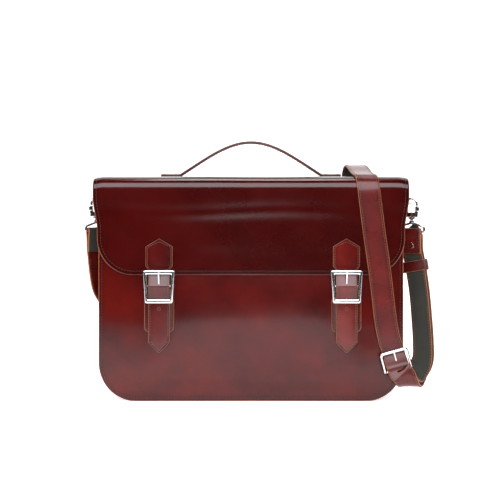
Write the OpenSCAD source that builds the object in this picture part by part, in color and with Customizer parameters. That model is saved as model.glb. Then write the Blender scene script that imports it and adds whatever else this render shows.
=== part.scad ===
// Leather satchel with a front flap, two buckled closures, a top handle and a
// clip-on shoulder strap. Millimetres, +Z up, front towards -Y, origin at the
// centre of the base.

/* [Node] */
// piece to build

/* [Body] */
// width across the front panel
body_w = 380; // [372:1:386]
// depth from front panel to back panel
body_d = 90; // [88:1:94]
// radius of the bottom corners
corner_r = 48; // [40:1:56]
// thickness of the body leather
leather = 3; // [2.6:0.1:3.2]

/* [Flap] */
// width of the flap at the top
flap_w = 394; // [390:1:398]
// height of the flap's lower edge
flap_bottom = 158; // [154:1:162]
// outer radius of the fold at the front top edge
roll_r = 14; // [13:0.5:14.5]

/* [Handle] */
// rise of the handle above the flap
handle_rise = 42; // [36:1:50]
// width of the handle strap
handle_w = 28; // [20:1:32]

/* [Closures] */
// centre of the left closure
closure_xl = -114; // [-118:0.5:-108]
// centre of the right closure
closure_xr = 118.5; // [112:0.5:120]
// width of the closure straps
closure_w = 27; // [24:0.5:28]

/* [Shoulder strap] */
// width of the shoulder strap
strap_w = 28; // [24:0.5:28]
// thickness of the shoulder strap
strap_t = 2.4; // [2:0.1:2.4]

/* [Hidden] */
$fn = 64;

hide = [0.36, 0.08, 0.07];
dark = [0.25, 0.07, 0.06];
steel = [0.85, 0.85, 0.87];

yf = -body_d / 2;            // outer face of the front panel
yb = body_d / 2;             // outer face of the back panel
seam_y = body_d / 2 - leather;  // from the middle of the bag to the front seam
flange = 8;                  // width of the turned-out gusset edge
wall_x = body_w / 2 - flange; // outer face of the gusset wall
gusset_top = 272;
hinge_y = yb - 1.5;
hinge_z = 278.5;
ff = -49.5;                  // outer face of the flap's front
swing_y = -50.85;            // closure strap's hinge line
swing_z = 166.8;
bar_y = -51.5;               // closure buckle's centre bar
bar_z = 144;
snap_z = 103;

// U outline standing on z = i, inset i from the body outline
module u_shape(w, top, r, i = 0) {
  ww = w - 2 * i;
  rr = r - i;
  translate([-ww / 2, i + rr]) square([ww, top - i - rr]);
  translate([-ww / 2 + rr, i]) square([ww - 2 * rr, rr + 0.5]);
  for (s = [-1, 1]) translate([s * (ww / 2 - rr), i + rr]) circle(rr);
}

// stands an XZ outline up and gives it a depth from y0 to y1
module slab(y0, y1) {
  translate([0, y1, 0]) rotate([90, 0, 0]) linear_extrude(y1 - y0) children();
}

// turns a YZ outline into a bar along X from x0 to x1
module bar_x(x0, x1) {
  translate([x0, 0, 0]) rotate([90, 0, 90]) linear_extrude(x1 - x0) children();
}

module rod_x(x0, x1, y, z, r) {
  translate([x0, y, z]) rotate([0, 90, 0]) cylinder(h = x1 - x0, r = r);
}

module rod_y(y0, y1, x, z, r) {
  translate([x, y0, z]) rotate([-90, 0, 0]) cylinder(h = y1 - y0, r = r);
}

// rod between two points
module rod(a, b, r) {
  d = b - a;
  l = norm(d);
  translate(a) rotate([0, acos(d[2] / l), atan2(d[1], d[0])]) cylinder(h = l, r = r);
}

// ---- smooth route of a flat strap ----
function unit(v) = v / norm(v);
function cr(a, b, c, d, t) = 0.5 * (2 * b + (c - a) * t
  + (2 * a - 5 * b + 4 * c - d) * t * t + (3 * b - a - 3 * c + d) * t * t * t);
function smooth(P, k) = [for (i = [0 : len(P) - 2], j = [0 : k - 1])
  cr(P[max(i - 1, 0)], P[i], P[i + 1], P[min(i + 2, len(P) - 1)], j / k),
  P[len(P) - 1]];
function tang(C, i) = unit(C[min(i + 1, len(C) - 1)] - C[max(i - 1, 0)]);
function across(C, W, i) = let (t = tang(C, i)) unit(W[i] - (W[i] * t) * t);
function face_n(C, W, i) = cross(tang(C, i), across(C, W, i));
function shifted(C, W, off, a, b) = [for (i = [a : b]) C[i] + off * face_n(C, W, i)];
function sliced(W, a, b) = [for (i = [a : b]) W[i]];
function reversed(P) = [for (i = [len(P) - 1 : -1 : 0]) P[i]];

// flat strap along centre points C with width directions W; the ends may taper
module ribbon(C, W, wid, thk, tip = 0) {
  n = len(C);
  // distance left to the far end, for a pointed tip
  left = [for (i = [0 : n - 1]) norm(C[n - 1] - C[i])];
  h = [for (i = [0 : n - 1]) tip > 0 && i > n / 2 && left[i] < tip
    ? max(0.16, left[i] / tip) * wid / 2 : wid / 2];
  pts = [for (i = [0 : n - 1]) let (w = across(C, W, i), m = face_n(C, W, i))
    for (s = [[1, 1], [-1, 1], [-1, -1], [1, -1]])
      C[i] + w * s[0] * h[i] + m * s[1] * thk / 2];
  faces = concat([[0, 1, 2], [0, 2, 3]],
    [for (i = [0 : n - 2], k = [0 : 3]) let (a = 4 * i + k, b = 4 * i + (k + 1) % 4)
      [a, a + 4, b]],
    [for (i = [0 : n - 2], k = [0 : 3]) let (a = 4 * i + k, b = 4 * i + (k + 1) % 4)
      [b, a + 4, b + 4]],
    [[4 * n - 4, 4 * n - 2, 4 * n - 3], [4 * n - 4, 4 * n - 1, 4 * n - 2]]);
  polyhedron(pts, faces);
}

// flat strap whose start is slotted down the middle as far as row k
module forked(C, W, wid, thk, k, slot) {
  n = len(C);
  function at(i, u, v) = C[i] + across(C, W, i) * u + face_n(C, W, i) * v * thk / 2;
  h = wid / 2;
  g = slot / 2;
  pts = concat(
    [for (i = [0 : k], q = [[g, h], [-h, -g]], s = [[q[1], 1], [q[0], 1], [q[0], -1], [q[1], -1]])
      at(i, s[0], s[1])],
    [for (i = [k + 1 : n - 1], s = [[h, 1], [-h, 1], [-h, -1], [h, -1]]) at(i, s[0], s[1])]);
  b0 = 8 * (k + 1);
  r = 8 * k;
  l = 8 * k + 4;
  faces = concat(
    [for (q = [0, 4]) [q, q + 1, q + 2]], [for (q = [0, 4]) [q, q + 2, q + 3]],
    [for (i = [0 : k - 1], q = [0, 4], m = [0 : 3], e = [0, 1])
      let (a = 8 * i + q + m, b = 8 * i + q + (m + 1) % 4)
      e == 0 ? [a, a + 8, b] : [b, a + 8, b + 8]],
    [[r, b0, r + 1], [r + 1, b0, l], [l, b0, l + 1], [l + 1, b0, b0 + 1],
      [l + 1, b0 + 1, l + 2], [l + 2, b0 + 1, b0 + 2],
      [l + 2, b0 + 2, l + 3], [l + 3, b0 + 2, r + 2], [r + 2, b0 + 2, r + 3], [r + 3, b0 + 2, b0 + 3],
      [r + 3, b0 + 3, r], [r, b0 + 3, b0],
      [r + 1, l, l + 3], [r + 1, l + 3, r + 2]],
    [for (i = [0 : n - k - 3], m = [0 : 3], e = [0, 1])
      let (a = b0 + 4 * i + m, b = b0 + 4 * i + (m + 1) % 4)
      e == 0 ? [a, a + 4, b] : [b, a + 4, b + 4]],
    let (z = b0 + 4 * (n - k - 2)) [[z, z + 2, z + 1], [z, z + 3, z + 2]]);
  polyhedron(pts, faces);
}

// ---- clasp positions: swivel axis x, centre height of the hook, turn ----
cl_x = [-198.3, 206.5];
cl_z = [246, 245];
cl_t = [8, -15];              // turn of the hooks
eye_t = [42, -22];            // turn of the eyes and straps
ring_r = 1.6;
hook_in = 4.6;
hook_r = 1.7;
ring_len = 24;
ring_bar_x = wall_x + 4.5;
ring_wire_x = [196.2, 204.4];  // distance of the ring's low side from the middle
function ring_a(i) = asin((ring_wire_x[i] - ring_bar_x) / ring_len);
function ring_z(i) = cl_z[i] - 0.75 + ring_len * cos(ring_a(i));
eye_z = [cl_z[0] - 35.5, cl_z[1] - 35.5];

// ---- routes ----
// short strap, from the strap buckle round the low loop to the right clasp
er = [cos(eye_t[1]), sin(eye_t[1]), 0];       // width direction at the right clasp
fr = [-sin(eye_t[1]), cos(eye_t[1]), 0];      // its back side
fold_r = [cl_x[1], 0, 0];
function at_r(s, z) = fold_r + fr * s + [0, 0, z];
turn_r = 6.5;                 // radius of the low loop
turn_c = [187.6, -53.2, 36.4];
M = concat([[182.8, -58.1, 39.6], [184.8, -59.4, 37.6]],
  [for (a = [0 : 30 : 180]) turn_c + [turn_r * a * PI / 180, -turn_r * cos(a), -turn_r * sin(a)]],
  [[211.6, -43.4, 43.5], [214.8, -38, 55], [216.2, -28, 75], [216, -16.5, 101], [214.4, -7.2, 133],
  [210.6, -1.2, 165], at_r(1.5, 186), at_r(1.9, 200), at_r(2.8, eye_z[1] - 3)]);
MW = concat([[0.966, 0, 0.259], [0.8, 0, 0.6]],
  [for (a = [0 : 30 : 180]) [0.707, -0.707 * sin(a), 0.707 * cos(a)]],
  [[0.8, -0.2, -0.57], [0.88, -0.4, -0.2], [0.88, -0.45, 0], [0.88, -0.45, 0],
  [0.89, -0.44, 0], er, er, er, er]);
MC = smooth(M, 4);
MWC = smooth(MW, 4);
nM = len(MC);
// wrap round the heel bar of the strap buckle, and the end sewn back inside
heel = [182.35, -54.6, 41.57];
upd = [-0.259, 0, 0.966];
heel_wrap = [for (a = [0 : 15 : 210]) heel + 3.15 * (sin(a) * upd + cos(a) * [0, -1, 0])];
u_w = [0.966, 0, 0.259];
// wrap round the clasp eye, and the end folded to the front
eye_wrap = [for (a = [0 : 15 : 180]) at_r(3.15 * cos(a), eye_z[1] + 3.15 * sin(a))];
front_end = [at_r(-2.4, eye_z[1] - 5), at_r(-1.9, 200), at_r(-1.55, 191), at_r(-1.5, 181)];
SC = concat(reversed(heel_wrap), MC, eye_wrap, front_end);

// long strap, from the left clasp behind the body, over the top, down the front,
// through the strap buckle and back up behind the short strap
el = [cos(eye_t[0]), sin(eye_t[0]), 0];
fl = [-sin(eye_t[0]), cos(eye_t[0]), 0];
fold_l = [cl_x[0], 0, 0];
function at_l(s, z) = fold_l + fl * s + [0, 0, z];
L1 = concat([at_l(-1.5, 184), at_l(-1.55, 193), at_l(-1.9, 201), at_l(-2.4, eye_z[0] - 5)],
  [for (a = [180 : -15 : 0]) at_l(3.15 * cos(a), eye_z[0] + 3.15 * sin(a))],
  [at_l(2.4, eye_z[0] - 5), at_l(1.9, 201), at_l(1.6, 190)]);
L2 = [[-198.0, 4.0, 168], [-197.0, 13, 142], [-194.6, 30, 120], [-193.2, 47, 104],
  [-192.4, 60.5, 86], [-186, 63, 58], [-168, 63, 27], [-135, 63, 9.5], [-90, 63, 4.4],
  [-40, 63, 7.5], [10, 63, 22], [50, 63, 50], [80, 63, 92], [100, 63, 140],
  [114, 62, 188], [124, 59, 226], [130.5, 56.5, 256], [133.6, 53.2, 275],
  [135, 45, 288], [136.4, 32, 293.6], [138, 14, 292], [140, -8, 286.4], [142, -27, 282.6],
  [143.2, -39, 281.6], [144.6, -47.4, 276.4], [146, -51.5, 266], [148.4, -51.7, 246],
  [153.6, -51.7, 206], [159.6, -51.7, 163.5], [166.6, -51.7, 104.5], [171, -51.7, 80],
  [175.4, -51.7, 66.5], [176.7, -52, 61.8], [178.5, -56.2, 54.6], [180.6, -61.3, 47.4]];
L2W = concat([[0.7, 0.71, 0], [0.5, 0.86, 0], [0, 1, 0], [0, 1, 0]],
  [for (i = [0 : 8]) [0, 1, 0]], [[0.05, 1, 0], [0.5, 0.87, 0], [0.85, 0.5, 0], [0.97, 0.2, 0.05],
  [1, 0.04, 0.05], [1, 0.02, 0], [1, 0.03, 0], [1, 0.05, 0], [1, 0.06, 0], [1, 0.06, 0], [1, 0.06, 0],
  [1, 0.05, 0.06], [0.995, 0, 0.1], [0.995, 0, 0.12], [0.99, 0, 0.13], [0.99, 0, 0.13],
  [0.99, 0, 0.13], [0.985, 0, 0.18], [0.97, 0, 0.23], [0.966, 0, 0.259], [0.966, 0, 0.259], [0.966, 0, 0.259]]);
lift = function(i) 3.3 + 5.4 * pow(max(0, sin(180 * min(1, max(0, (i + 3) / 46)))), 0.6);
tail = concat([for (i = [1 : 64]) shifted(MC, MWC, lift(i), i, i)[0]], [at_r(6.2, 207) + 1.2 * er, at_r(6.6, 213) + 2 * er, at_r(6.8, 220) + 2.6 * er]);
LC = concat(L1, smooth(L2, 4), tail);
LW = concat([for (i = [0 : len(L1) - 1]) el], smooth(L2W, 4), sliced(MWC, 1, 64), [er, er, er]);

// ================= body =================
// the origin lies on the lower edge of the front seam, in the middle of the bag
module on_seam() translate([0, seam_y, 0]) children();

module front_panel() on_seam() color(hide)
  slab(yf, yf + leather) u_shape(body_w, 268, corner_r);

module back_panel() on_seam() color(hide)
  slab(yb - leather, yb) u_shape(body_w, 276.8, corner_r);

module gusset() on_seam() color(dark) {
  i = flange + leather;
  difference() {
    union() {
      slab(yf + leather, yf + 2 * leather) u_shape(body_w, gusset_top, corner_r);
      slab(yf + leather, yb - leather) u_shape(body_w, gusset_top, corner_r, flange);
      slab(yb - 2 * leather, yb - leather) u_shape(body_w, gusset_top, corner_r);
    }
    slab(yf, yb) u_shape(body_w, gusset_top + 5, corner_r, i);
  }
}

module divider() on_seam() color(dark)
  slab(-1, 1.5) u_shape(body_w, 236, corner_r, flange + leather);

module slip_pocket() on_seam() color(dark)
  slab(yb - leather - 2, yb - leather) translate([0, 96]) {
    translate([-90, 10]) square([180, 112]);
    translate([-80, 0]) square([160, 12]);
    for (s = [-1, 1]) translate([s * 80, 10]) circle(10);
  }

module flap_anchor() on_seam() color(hide)
  slab(yb, yb + 2.5) translate([-body_w / 2, 243]) square([body_w, 33.5]);

// ================= flap =================
module flap_profile() {
  translate([ff + roll_r - 0.02, 277]) square([hinge_y - ff - roll_r + 0.02, 3]);
  translate([hinge_y, hinge_z]) circle(1.5);
  intersection() {
    translate([ff + roll_r, 280 - roll_r]) difference() {
      circle(roll_r);
      circle(roll_r - 3);
    }
    translate([ff - 1, 280 - roll_r]) square([roll_r + 1, roll_r + 1]);
  }
  translate([ff, flap_bottom - 5]) square([3, 280 - roll_r - flap_bottom + 5.02]);
}

flap_out = concat(
  [for (a = [180 : 7.5 : 270]) [-146.5 + 45 * cos(a), flap_bottom + 45 + 45 * sin(a)]],
  [for (a = [270 : 7.5 : 360]) [146.5 + 45 * cos(a), flap_bottom + 45 + 45 * sin(a)]],
  [[191.5, 212], [flap_w / 2, 256], [flap_w / 2, 290], [-flap_w / 2, 290],
    [-flap_w / 2, 256], [-191.5, 212]]);

module flap() on_seam() color(hide)
  intersection() {
    bar_x(-flap_w, flap_w) flap_profile();
    slab(-80, 80) polygon(flap_out);
  }

// centre line of the handle, seen from the front
function hz(x) = let (s = min(1, abs(x) / 90)) 281.5 + handle_rise
  * (0.3 * (1 + cos(180 * s)) / 2 + 0.7 * (1 - s * s));
hx = [for (i = [-46 : 46]) i * 2.5];
function hn(x) = let (d = (hz(x + 0.2) - hz(x - 0.2)) / 0.4) [-d, 1] / sqrt(1 + d * d);

module handle() on_seam() color(hide)
  slab(-handle_w / 2, handle_w / 2) polygon(concat(
    [for (x = hx) [x, hz(x)] + 1.5 * hn(x)],
    [for (x = reversed(hx)) [x, hz(x)] - 1.5 * hn(x)]));

module handle_backing() on_seam() color(dark)
  for (s = [-1, 1]) translate([s * 100 - 17, -18, 274.8]) cube([34, 36, 2.2]);

// ================= closures =================
module upper_tab(x) on_seam() color(hide)
  slab(ff - 2.5, ff) translate([x, 0])
    polygon([[-16.8, 168.2], [16.8, 168.2], [16.8, 193], [0.6, 202.8], [-0.6, 202.8], [-16.8, 193]]);

// centre line of a closure strap in the YZ plane
cs = [[swing_y, swing_z], [-50.9, 164], [-51.1, 158], [-53, 151.5], [-55.7, 145.5], [-55.9, 142.5],
  [-54.4, 135], [-52.8, 129], [-52.4, 124], [-52.5, 114], [-52.6, 90], [-52.8, 62]];
csc = smooth(cs, 5);
function cn(i) = let (t = tang(csc, i)) [t[1], -t[0]];

module closure_strap(x) on_seam() color(hide)
  difference() {
    intersection() {
      bar_x(x - closure_w / 2, x + closure_w / 2) {
        polygon(concat([for (i = [0 : len(csc) - 1]) csc[i] + 1.15 * cn(i)],
          [for (i = [len(csc) - 1 : -1 : 0]) csc[i] - 1.15 * cn(i)]));
        translate([swing_y, swing_z]) circle(1.15);
      }
      slab(-70, -40) translate([x, 0]) polygon([[-14, 180], [14, 180], [14, 73],
        [1, 61.8], [-1, 61.8], [-14, 73]]);
    }
    translate([x - 2, -60, 142]) cube([4, 12, 14]);
    for (z = [80, 92, 104, 116]) rod_y(-60, -40, x, z, 1.6);
  }

module buckle_tab(x) on_seam() color(hide)
  difference() {
    union() {
      rod_x(x - 13, x + 13, bar_y, bar_z, 2.9);
      translate([x - 13, -51.0, 118]) cube([26, 3, 24]);
      slab(-51, -48) translate([x, 87]) {
        translate([-18.5, 6]) square([37, 34]);
        translate([-12.5, 0]) square([25, 7]);
        for (s = [-1, 1]) translate([s * 12.5, 6]) circle(6);
      }
    }
    rod_x(x - 30, x + 30, bar_y, bar_z, 1.35);
    translate([x - 2.8, -60, 139.5]) cube([5.6, 14, 14]);
  }

module closure_buckle(x) on_seam() color(steel) {
  difference() {
    slab(-57.6, -54.0) translate([x, 0])
      polygon([[-19.6, 163.2], [-18.6, 164.2], [18.6, 164.2], [19.6, 163.2],
        [17.2, 124], [16.2, 123], [-16.2, 123], [-17.2, 124]]);
    slab(-60, -50) translate([x, 0])
      polygon([[-15.2, 158.8], [15.2, 158.8], [14, 128.4], [-14, 128.4]]);
  }
  // centre bar, set back between the side bars
  rod_x(x - 17.3, x + 17.3, bar_y, bar_z, 1.3);
  for (s = [-1, 1]) translate([x + s * 16.25 - 1.15, -54.2, bar_z - 3]) cube([2.3, 4, 6]);
}

module magnet(x) on_seam() color(steel) {
  rod_y(-48, -46.8, x, snap_z, 9);
}

module snap_plate() on_seam() color(steel)
  for (x = [closure_xl, closure_xr]) rod_y(yf - 1.5, yf, x, snap_z, 9);

module snap_washer() on_seam() color(steel)
  for (x = [closure_xl, closure_xr]) rod_y(yf + leather, yf + leather + 1, x, snap_z, 8);

module prong(x) on_seam() color(steel) {
  difference() {
    rod_x(x - 1.6, x + 1.6, bar_y, bar_z, 2.7);
    rod_x(x - 3, x + 3, bar_y, bar_z, 1.36);
  }
  rod([x, -54.6, 145.6], [x, -59.9, 161.4], 1.2);
  translate([x, -59.9, 161.4]) sphere(1.2);
}

// ================= rings and clasps =================

module side(i) { mirror([i == 0 ? 1 : 0, 0, 0]) children(); }

module dring_tab() on_seam() color(hide)
  for (i = [0, 1]) side(i) difference() {
    union() {
      rod_y(-11, 11, ring_bar_x, ring_z(i), 4.2);
      translate([wall_x, -11, ring_z(i) - 36]) cube([4.6, 22, 36]);
    }
    rod_y(-12, 12, ring_bar_x, ring_z(i), ring_r + 0.08);
    rod([wall_x - 2, 0, ring_z(i) - 26], [wall_x + 6, 0, ring_z(i) - 26], 2);
  }

module tab_rivet() on_seam() color(steel)
  for (i = [0, 1]) side(i) {
    rod([wall_x, 0, ring_z(i) - 26], [wall_x + 4.6, 0, ring_z(i) - 26], 2);
    rod([wall_x + 4.6, 0, ring_z(i) - 26], [wall_x + 5.8, 0, ring_z(i) - 26], 4);
  }

module dring(i) on_seam() color(steel) side(i)
  translate([ring_bar_x, 0, ring_z(i)]) rotate([0, -ring_a(i), 0]) {
    rod_y(-14, 14, 0, 0, ring_r);
    for (s = [-1, 1]) {
      translate([0, s * 14, 0]) sphere(ring_r);
      translate([0, s * 14, -ring_len + 14]) cylinder(h = ring_len - 14, r = ring_r);
    }
    translate([0, 0, -ring_len + 14]) rotate([0, 90, 0])
      rotate([0, 0, -90]) rotate_extrude(angle = 180) translate([14, 0]) circle(ring_r);
  }

// hook, in its own frame: x across, z up from the loop's centre
hc = hook_in + hook_r;
module hook_solid() {
  translate([0, 0, 0]) rotate([90, 0, 0]) rotate_extrude(angle = 180) translate([hc, 0]) circle(hook_r);
  translate([-hc, 0, -12]) cylinder(h = 12, r = hook_r);
  translate([hc, 0, -2.6]) cylinder(h = 2.6, r = hook_r);
  difference() {
    union() {
      translate([-8, -3.4, -17]) cube([16, 6.8, 6]);
      rod_y(-3.4, 3.4, hc, -11.4, 2.3);
    }
    // slot for the gate and the swivel's hole
    translate([hc - 2.7, -1.9, -14.4]) cube([8, 3.8, 12]);
    translate([0, 0, -18]) cylinder(h = 6, r = 2.05);
  }
  rod_y(-3.4, 3.4, hc, -11.4, 0.8);
}

module gate_solid() {
  difference() {
    union() {
      rod_y(-1.7, 1.7, hc, -11.4, 2.3);
      translate([hc - 1.7, -1.7, -11.4]) cube([3.4, 3.4, 8.1]);
      // thumb rib
      translate([hc + 1.2, -1.7, -9]) cube([2.1, 3.4, 4.6]);
    }
    rod_y(-3, 3, hc, -11.4, 0.86);
  }
}

module clasp_hook(i) on_seam() color(steel)
  translate([cl_x[i], 0, cl_z[i]]) rotate([0, 0, cl_t[i]]) side(i) hook_solid();

module clasp_gate(i) on_seam() color(steel)
  translate([cl_x[i], 0, cl_z[i]]) rotate([0, 0, cl_t[i]]) side(i) gate_solid();

module clasp_eye(i) on_seam() color(steel)
  translate([cl_x[i], 0, cl_z[i]]) rotate([0, 0, eye_t[i]]) {
    translate([0, 0, -25]) cylinder(h = 12.4, r = 2.0);
    translate([0, 0, -19.6]) cylinder(h = 2.4, r = 4.4);
    translate([0, 0, -24]) cylinder(h = 2, r = 3.4);
    for (s = [-1, 1]) {
      rod([0, 0, -24.6], [s * 16.2, 0, -29.5], 1.5);
      translate([s * 16.2, 0, -29.5]) sphere(1.62);
      translate([s * 16.2, 0, -35.5]) cylinder(h = 6, r = 1.5);
      translate([s * 16.2, 0, -35.5]) sphere(1.62);
    }
    rotate([0, 90, 0]) translate([35.5, 0, -16.2]) cylinder(h = 32.4, r = 1.5);
  }

// ================= shoulder strap =================
module long_strap() on_seam() color(hide)
  difference() {
    ribbon(LC, LW, strap_w, strap_t, 16);
    // slot for the prong
    translate(heel) rotate([0, -15, 0]) translate([-2.2, -10, -3.5]) cube([4.4, 12, 20]);
  }

// the short strap is built as its lay-back end, its main length and its fold
sw_all = concat([for (p = heel_wrap) u_w],
  MWC, [for (p = eye_wrap) er], [for (p = front_end) er]);

module short_strap() on_seam() color(hide)
  difference() {
    forked(SC, sw_all, 24.5, strap_t, 19, 5.2);
    rod(at_r(-6, 191), at_r(6, 191), 1.5);
  }

module strap_rivet() on_seam() color(steel) {
  rod(at_r(-3.4, 191), at_r(3.2, 191), 1.5);
  rod(at_r(-4.0, 191), at_r(-2.75, 191), 3.3);
}

kp = MC[56];
kw = across(MC, MWC, 56);
kn = face_n(MC, MWC, 56);
kt = tang(MC, 56);
module keeper() on_seam() color(hide)
  multmatrix([[kw[0], kn[0], kt[0], kp[0]], [kw[1], kn[1], kt[1], kp[1]], [kw[2], kn[2], kt[2], kp[2]], [0, 0, 0, 1]])
    difference() {
      translate([-16.8, -3.6, -7]) cube([33.6, 10.2, 14]);
      translate([-14.8, -1.8, -8]) cube([29.6, 6.6, 16]);
    }

module in_buckle() translate([179.5, 0, 52.2]) rotate([0, -15, 0]) children();

module strap_buckle() on_seam() color(steel) in_buckle() {
  difference() {
    slab(-57.2, -53.6) polygon([[-17, 13.5], [17, 13.5], [18, 12.5], [18, -10], [-18, -10], [-18, 12.5]]);
    slab(-60, -50) polygon([[-14.8, 9.8], [14.8, 9.8], [14.8, -14], [-14.8, -14]]);
  }
  rod_x(-17.6, 17.6, -54.6, -11, 1.5);
  for (s = [-1, 1]) translate([s * 16.4 - 1.6, -56.6, -12.8]) cube([3.2, 3.4, 4]);
}

module strap_prong() on_seam() color(steel) in_buckle() {
  difference() {
    rod_x(-1.6, 1.6, -54.6, -11, 2.9);
    rod_x(-3, 3, -54.6, -11, 1.56);
  }
  rod([0, -57.0, -9.4], [0, -58.8, 11.6], 1.2);
  translate([0, -58.8, 11.6]) sphere(1.2);
}

// ================= build =================
front_panel();
back_panel();
gusset();
divider();
slip_pocket();
flap_anchor();
snap_plate();
snap_washer();
dring_tab();
tab_rivet();
clasp_eye(0);  // clasp_eye_l
clasp_eye(1);  // clasp_eye_r
short_strap();
strap_rivet();
keeper();
strap_buckle();
strap_prong();
flap();
handle();
handle_backing();
upper_tab(closure_xl);  // upper_tab_l
upper_tab(closure_xr);  // upper_tab_r
closure_strap(closure_xl);  // closure_strap_l
closure_strap(closure_xr);  // closure_strap_r
buckle_tab(closure_xl);  // buckle_tab_l
buckle_tab(closure_xr);  // buckle_tab_r
closure_buckle(closure_xl);  // buckle_l
closure_buckle(closure_xr);  // buckle_r
magnet(closure_xl);  // magnet_l
magnet(closure_xr);  // magnet_r
prong(closure_xl);  // prong_l
prong(closure_xr);  // prong_r
dring(0);  // dring_l
dring(1);  // dring_r
clasp_hook(0);  // clasp_hook_l
clasp_hook(1);  // clasp_hook_r
clasp_gate(0);  // clasp_gate_l
clasp_gate(1);  // clasp_gate_r
long_strap();
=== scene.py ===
import bpy
import bmesh
import math
import random
import numpy as np
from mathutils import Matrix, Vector


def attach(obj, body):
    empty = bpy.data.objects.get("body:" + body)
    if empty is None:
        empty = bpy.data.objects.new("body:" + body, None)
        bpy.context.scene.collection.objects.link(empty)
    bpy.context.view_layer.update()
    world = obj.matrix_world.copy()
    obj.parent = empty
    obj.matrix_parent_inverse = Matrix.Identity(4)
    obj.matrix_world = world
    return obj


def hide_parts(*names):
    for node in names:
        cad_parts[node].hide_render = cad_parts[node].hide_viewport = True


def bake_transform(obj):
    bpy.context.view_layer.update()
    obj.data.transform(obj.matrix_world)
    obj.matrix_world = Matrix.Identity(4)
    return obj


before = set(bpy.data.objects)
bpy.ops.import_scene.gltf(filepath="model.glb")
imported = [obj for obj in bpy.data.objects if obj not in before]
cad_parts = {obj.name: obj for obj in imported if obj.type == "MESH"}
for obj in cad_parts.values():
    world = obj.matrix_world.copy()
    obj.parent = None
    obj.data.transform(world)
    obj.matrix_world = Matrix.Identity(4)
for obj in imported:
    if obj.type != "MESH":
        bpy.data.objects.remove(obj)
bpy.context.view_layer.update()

MM = 0.001
YO = 42.0      # pieces are laid out from the middle of the bag; the front seam is the origin


# ------------------------------------------------------------------ helpers
def v3(p):
    return np.array(p, float)


def unit(v):
    return v / max(1e-12, np.linalg.norm(v))


def cat(a, b, c, d, t):
    return 0.5 * (2 * b + (c - a) * t + (2 * a - 5 * b + 4 * c - d) * t * t + (3 * b - a - 3 * c + d) * t ** 3)


def smooth(P, k):
    P = [v3(p) for p in P]
    out, n = [], len(P)
    for i in range(n - 1):
        for j in range(k):
            out.append(cat(P[max(i - 1, 0)], P[i], P[i + 1], P[min(i + 2, n - 1)], j / k))
    out.append(P[-1])
    return out


def tang(C, i):
    return unit(C[min(i + 1, len(C) - 1)] - C[max(i - 1, 0)])


def across(C, W, i):
    t = tang(C, i)
    return unit(W[i] - np.dot(W[i], t) * t)


def face_n(C, W, i):
    return np.cross(tang(C, i), across(C, W, i))


def bend(ob):
    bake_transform(ob)


def ss(x, a, b):
    t = min(1.0, max(0.0, (x - a) / (b - a)))
    return t * t * (3 - 2 * t)


def new_mesh(name, verts, faces, mats, fmat=None, uv=None, edge=None, shade=True):
    """verts in millimetres; uv per vertex in millimetres; edge is the distance to the raw edge in millimetres."""
    me = bpy.data.meshes.new(name)
    me.from_pydata([(float(v[0]) * MM, (float(v[1]) + YO) * MM, float(v[2]) * MM) for v in verts], [], [tuple(int(i) for i in f) for f in faces])
    for m in mats:
        me.materials.append(m)
    if fmat is not None:
        me.polygons.foreach_set("material_index", np.array(fmat, dtype=np.int32))
    if uv is not None:
        lay = me.uv_layers.new(name="UVMap")
        idx = np.empty(len(me.loops), dtype=np.int32)
        me.loops.foreach_get("vertex_index", idx)
        u = np.array(uv, float)[idx] * MM
        lay.data.foreach_set("uv", u.astype(np.float32).ravel())
    if edge is not None:
        at = me.attributes.new("edge", "FLOAT", "POINT")
        at.data.foreach_set("value", np.array(edge, dtype=np.float32))
    me.polygons.foreach_set("use_smooth", [shade] * len(me.polygons))
    me.validate()
    me.update()
    ob = bpy.data.objects.new(name, me)
    bpy.context.scene.collection.objects.link(ob)
    return ob


# ---------------------------------------------------------------- materials
def nodes_of(mat):
    mat.use_nodes = True
    nt = mat.node_tree
    return nt, nt.nodes, nt.links


def ramp(nt, pts, src=None):
    r = nt.nodes.new("ShaderNodeValToRGB")
    r.color_ramp.elements[0].position = pts[0][0]
    r.color_ramp.elements[0].color = (*pts[0][1], 1)
    r.color_ramp.elements[1].position = pts[-1][0]
    r.color_ramp.elements[1].color = (*pts[-1][1], 1)
    for pos, col in pts[1:-1]:
        e = r.color_ramp.elements.new(pos)
        e.color = (*col, 1)
    if src is not None:
        nt.links.new(src, r.inputs[0])
    return r


def mixc(nt, fac, a, b, mode="MIX"):
    m = nt.nodes.new("ShaderNodeMix")
    m.data_type = "RGBA"
    m.blend_type = mode
    for sock, val in ((m.inputs[0], fac), (m.inputs[6], a), (m.inputs[7], b)):
        if isinstance(val, (int, float)):
            sock.default_value = val
        elif isinstance(val, tuple):
            sock.default_value = (*val, 1)
        else:
            nt.links.new(val, sock)
    return m.outputs[2]


def noise(nt, vec, scale, detail=4, rough=0.55):
    n = nt.nodes.new("ShaderNodeTexNoise")
    n.inputs["Scale"].default_value = scale
    n.inputs["Detail"].default_value = detail
    n.inputs["Roughness"].default_value = rough
    nt.links.new(vec, n.inputs["Vector"])
    return n.outputs["Fac"]


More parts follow.
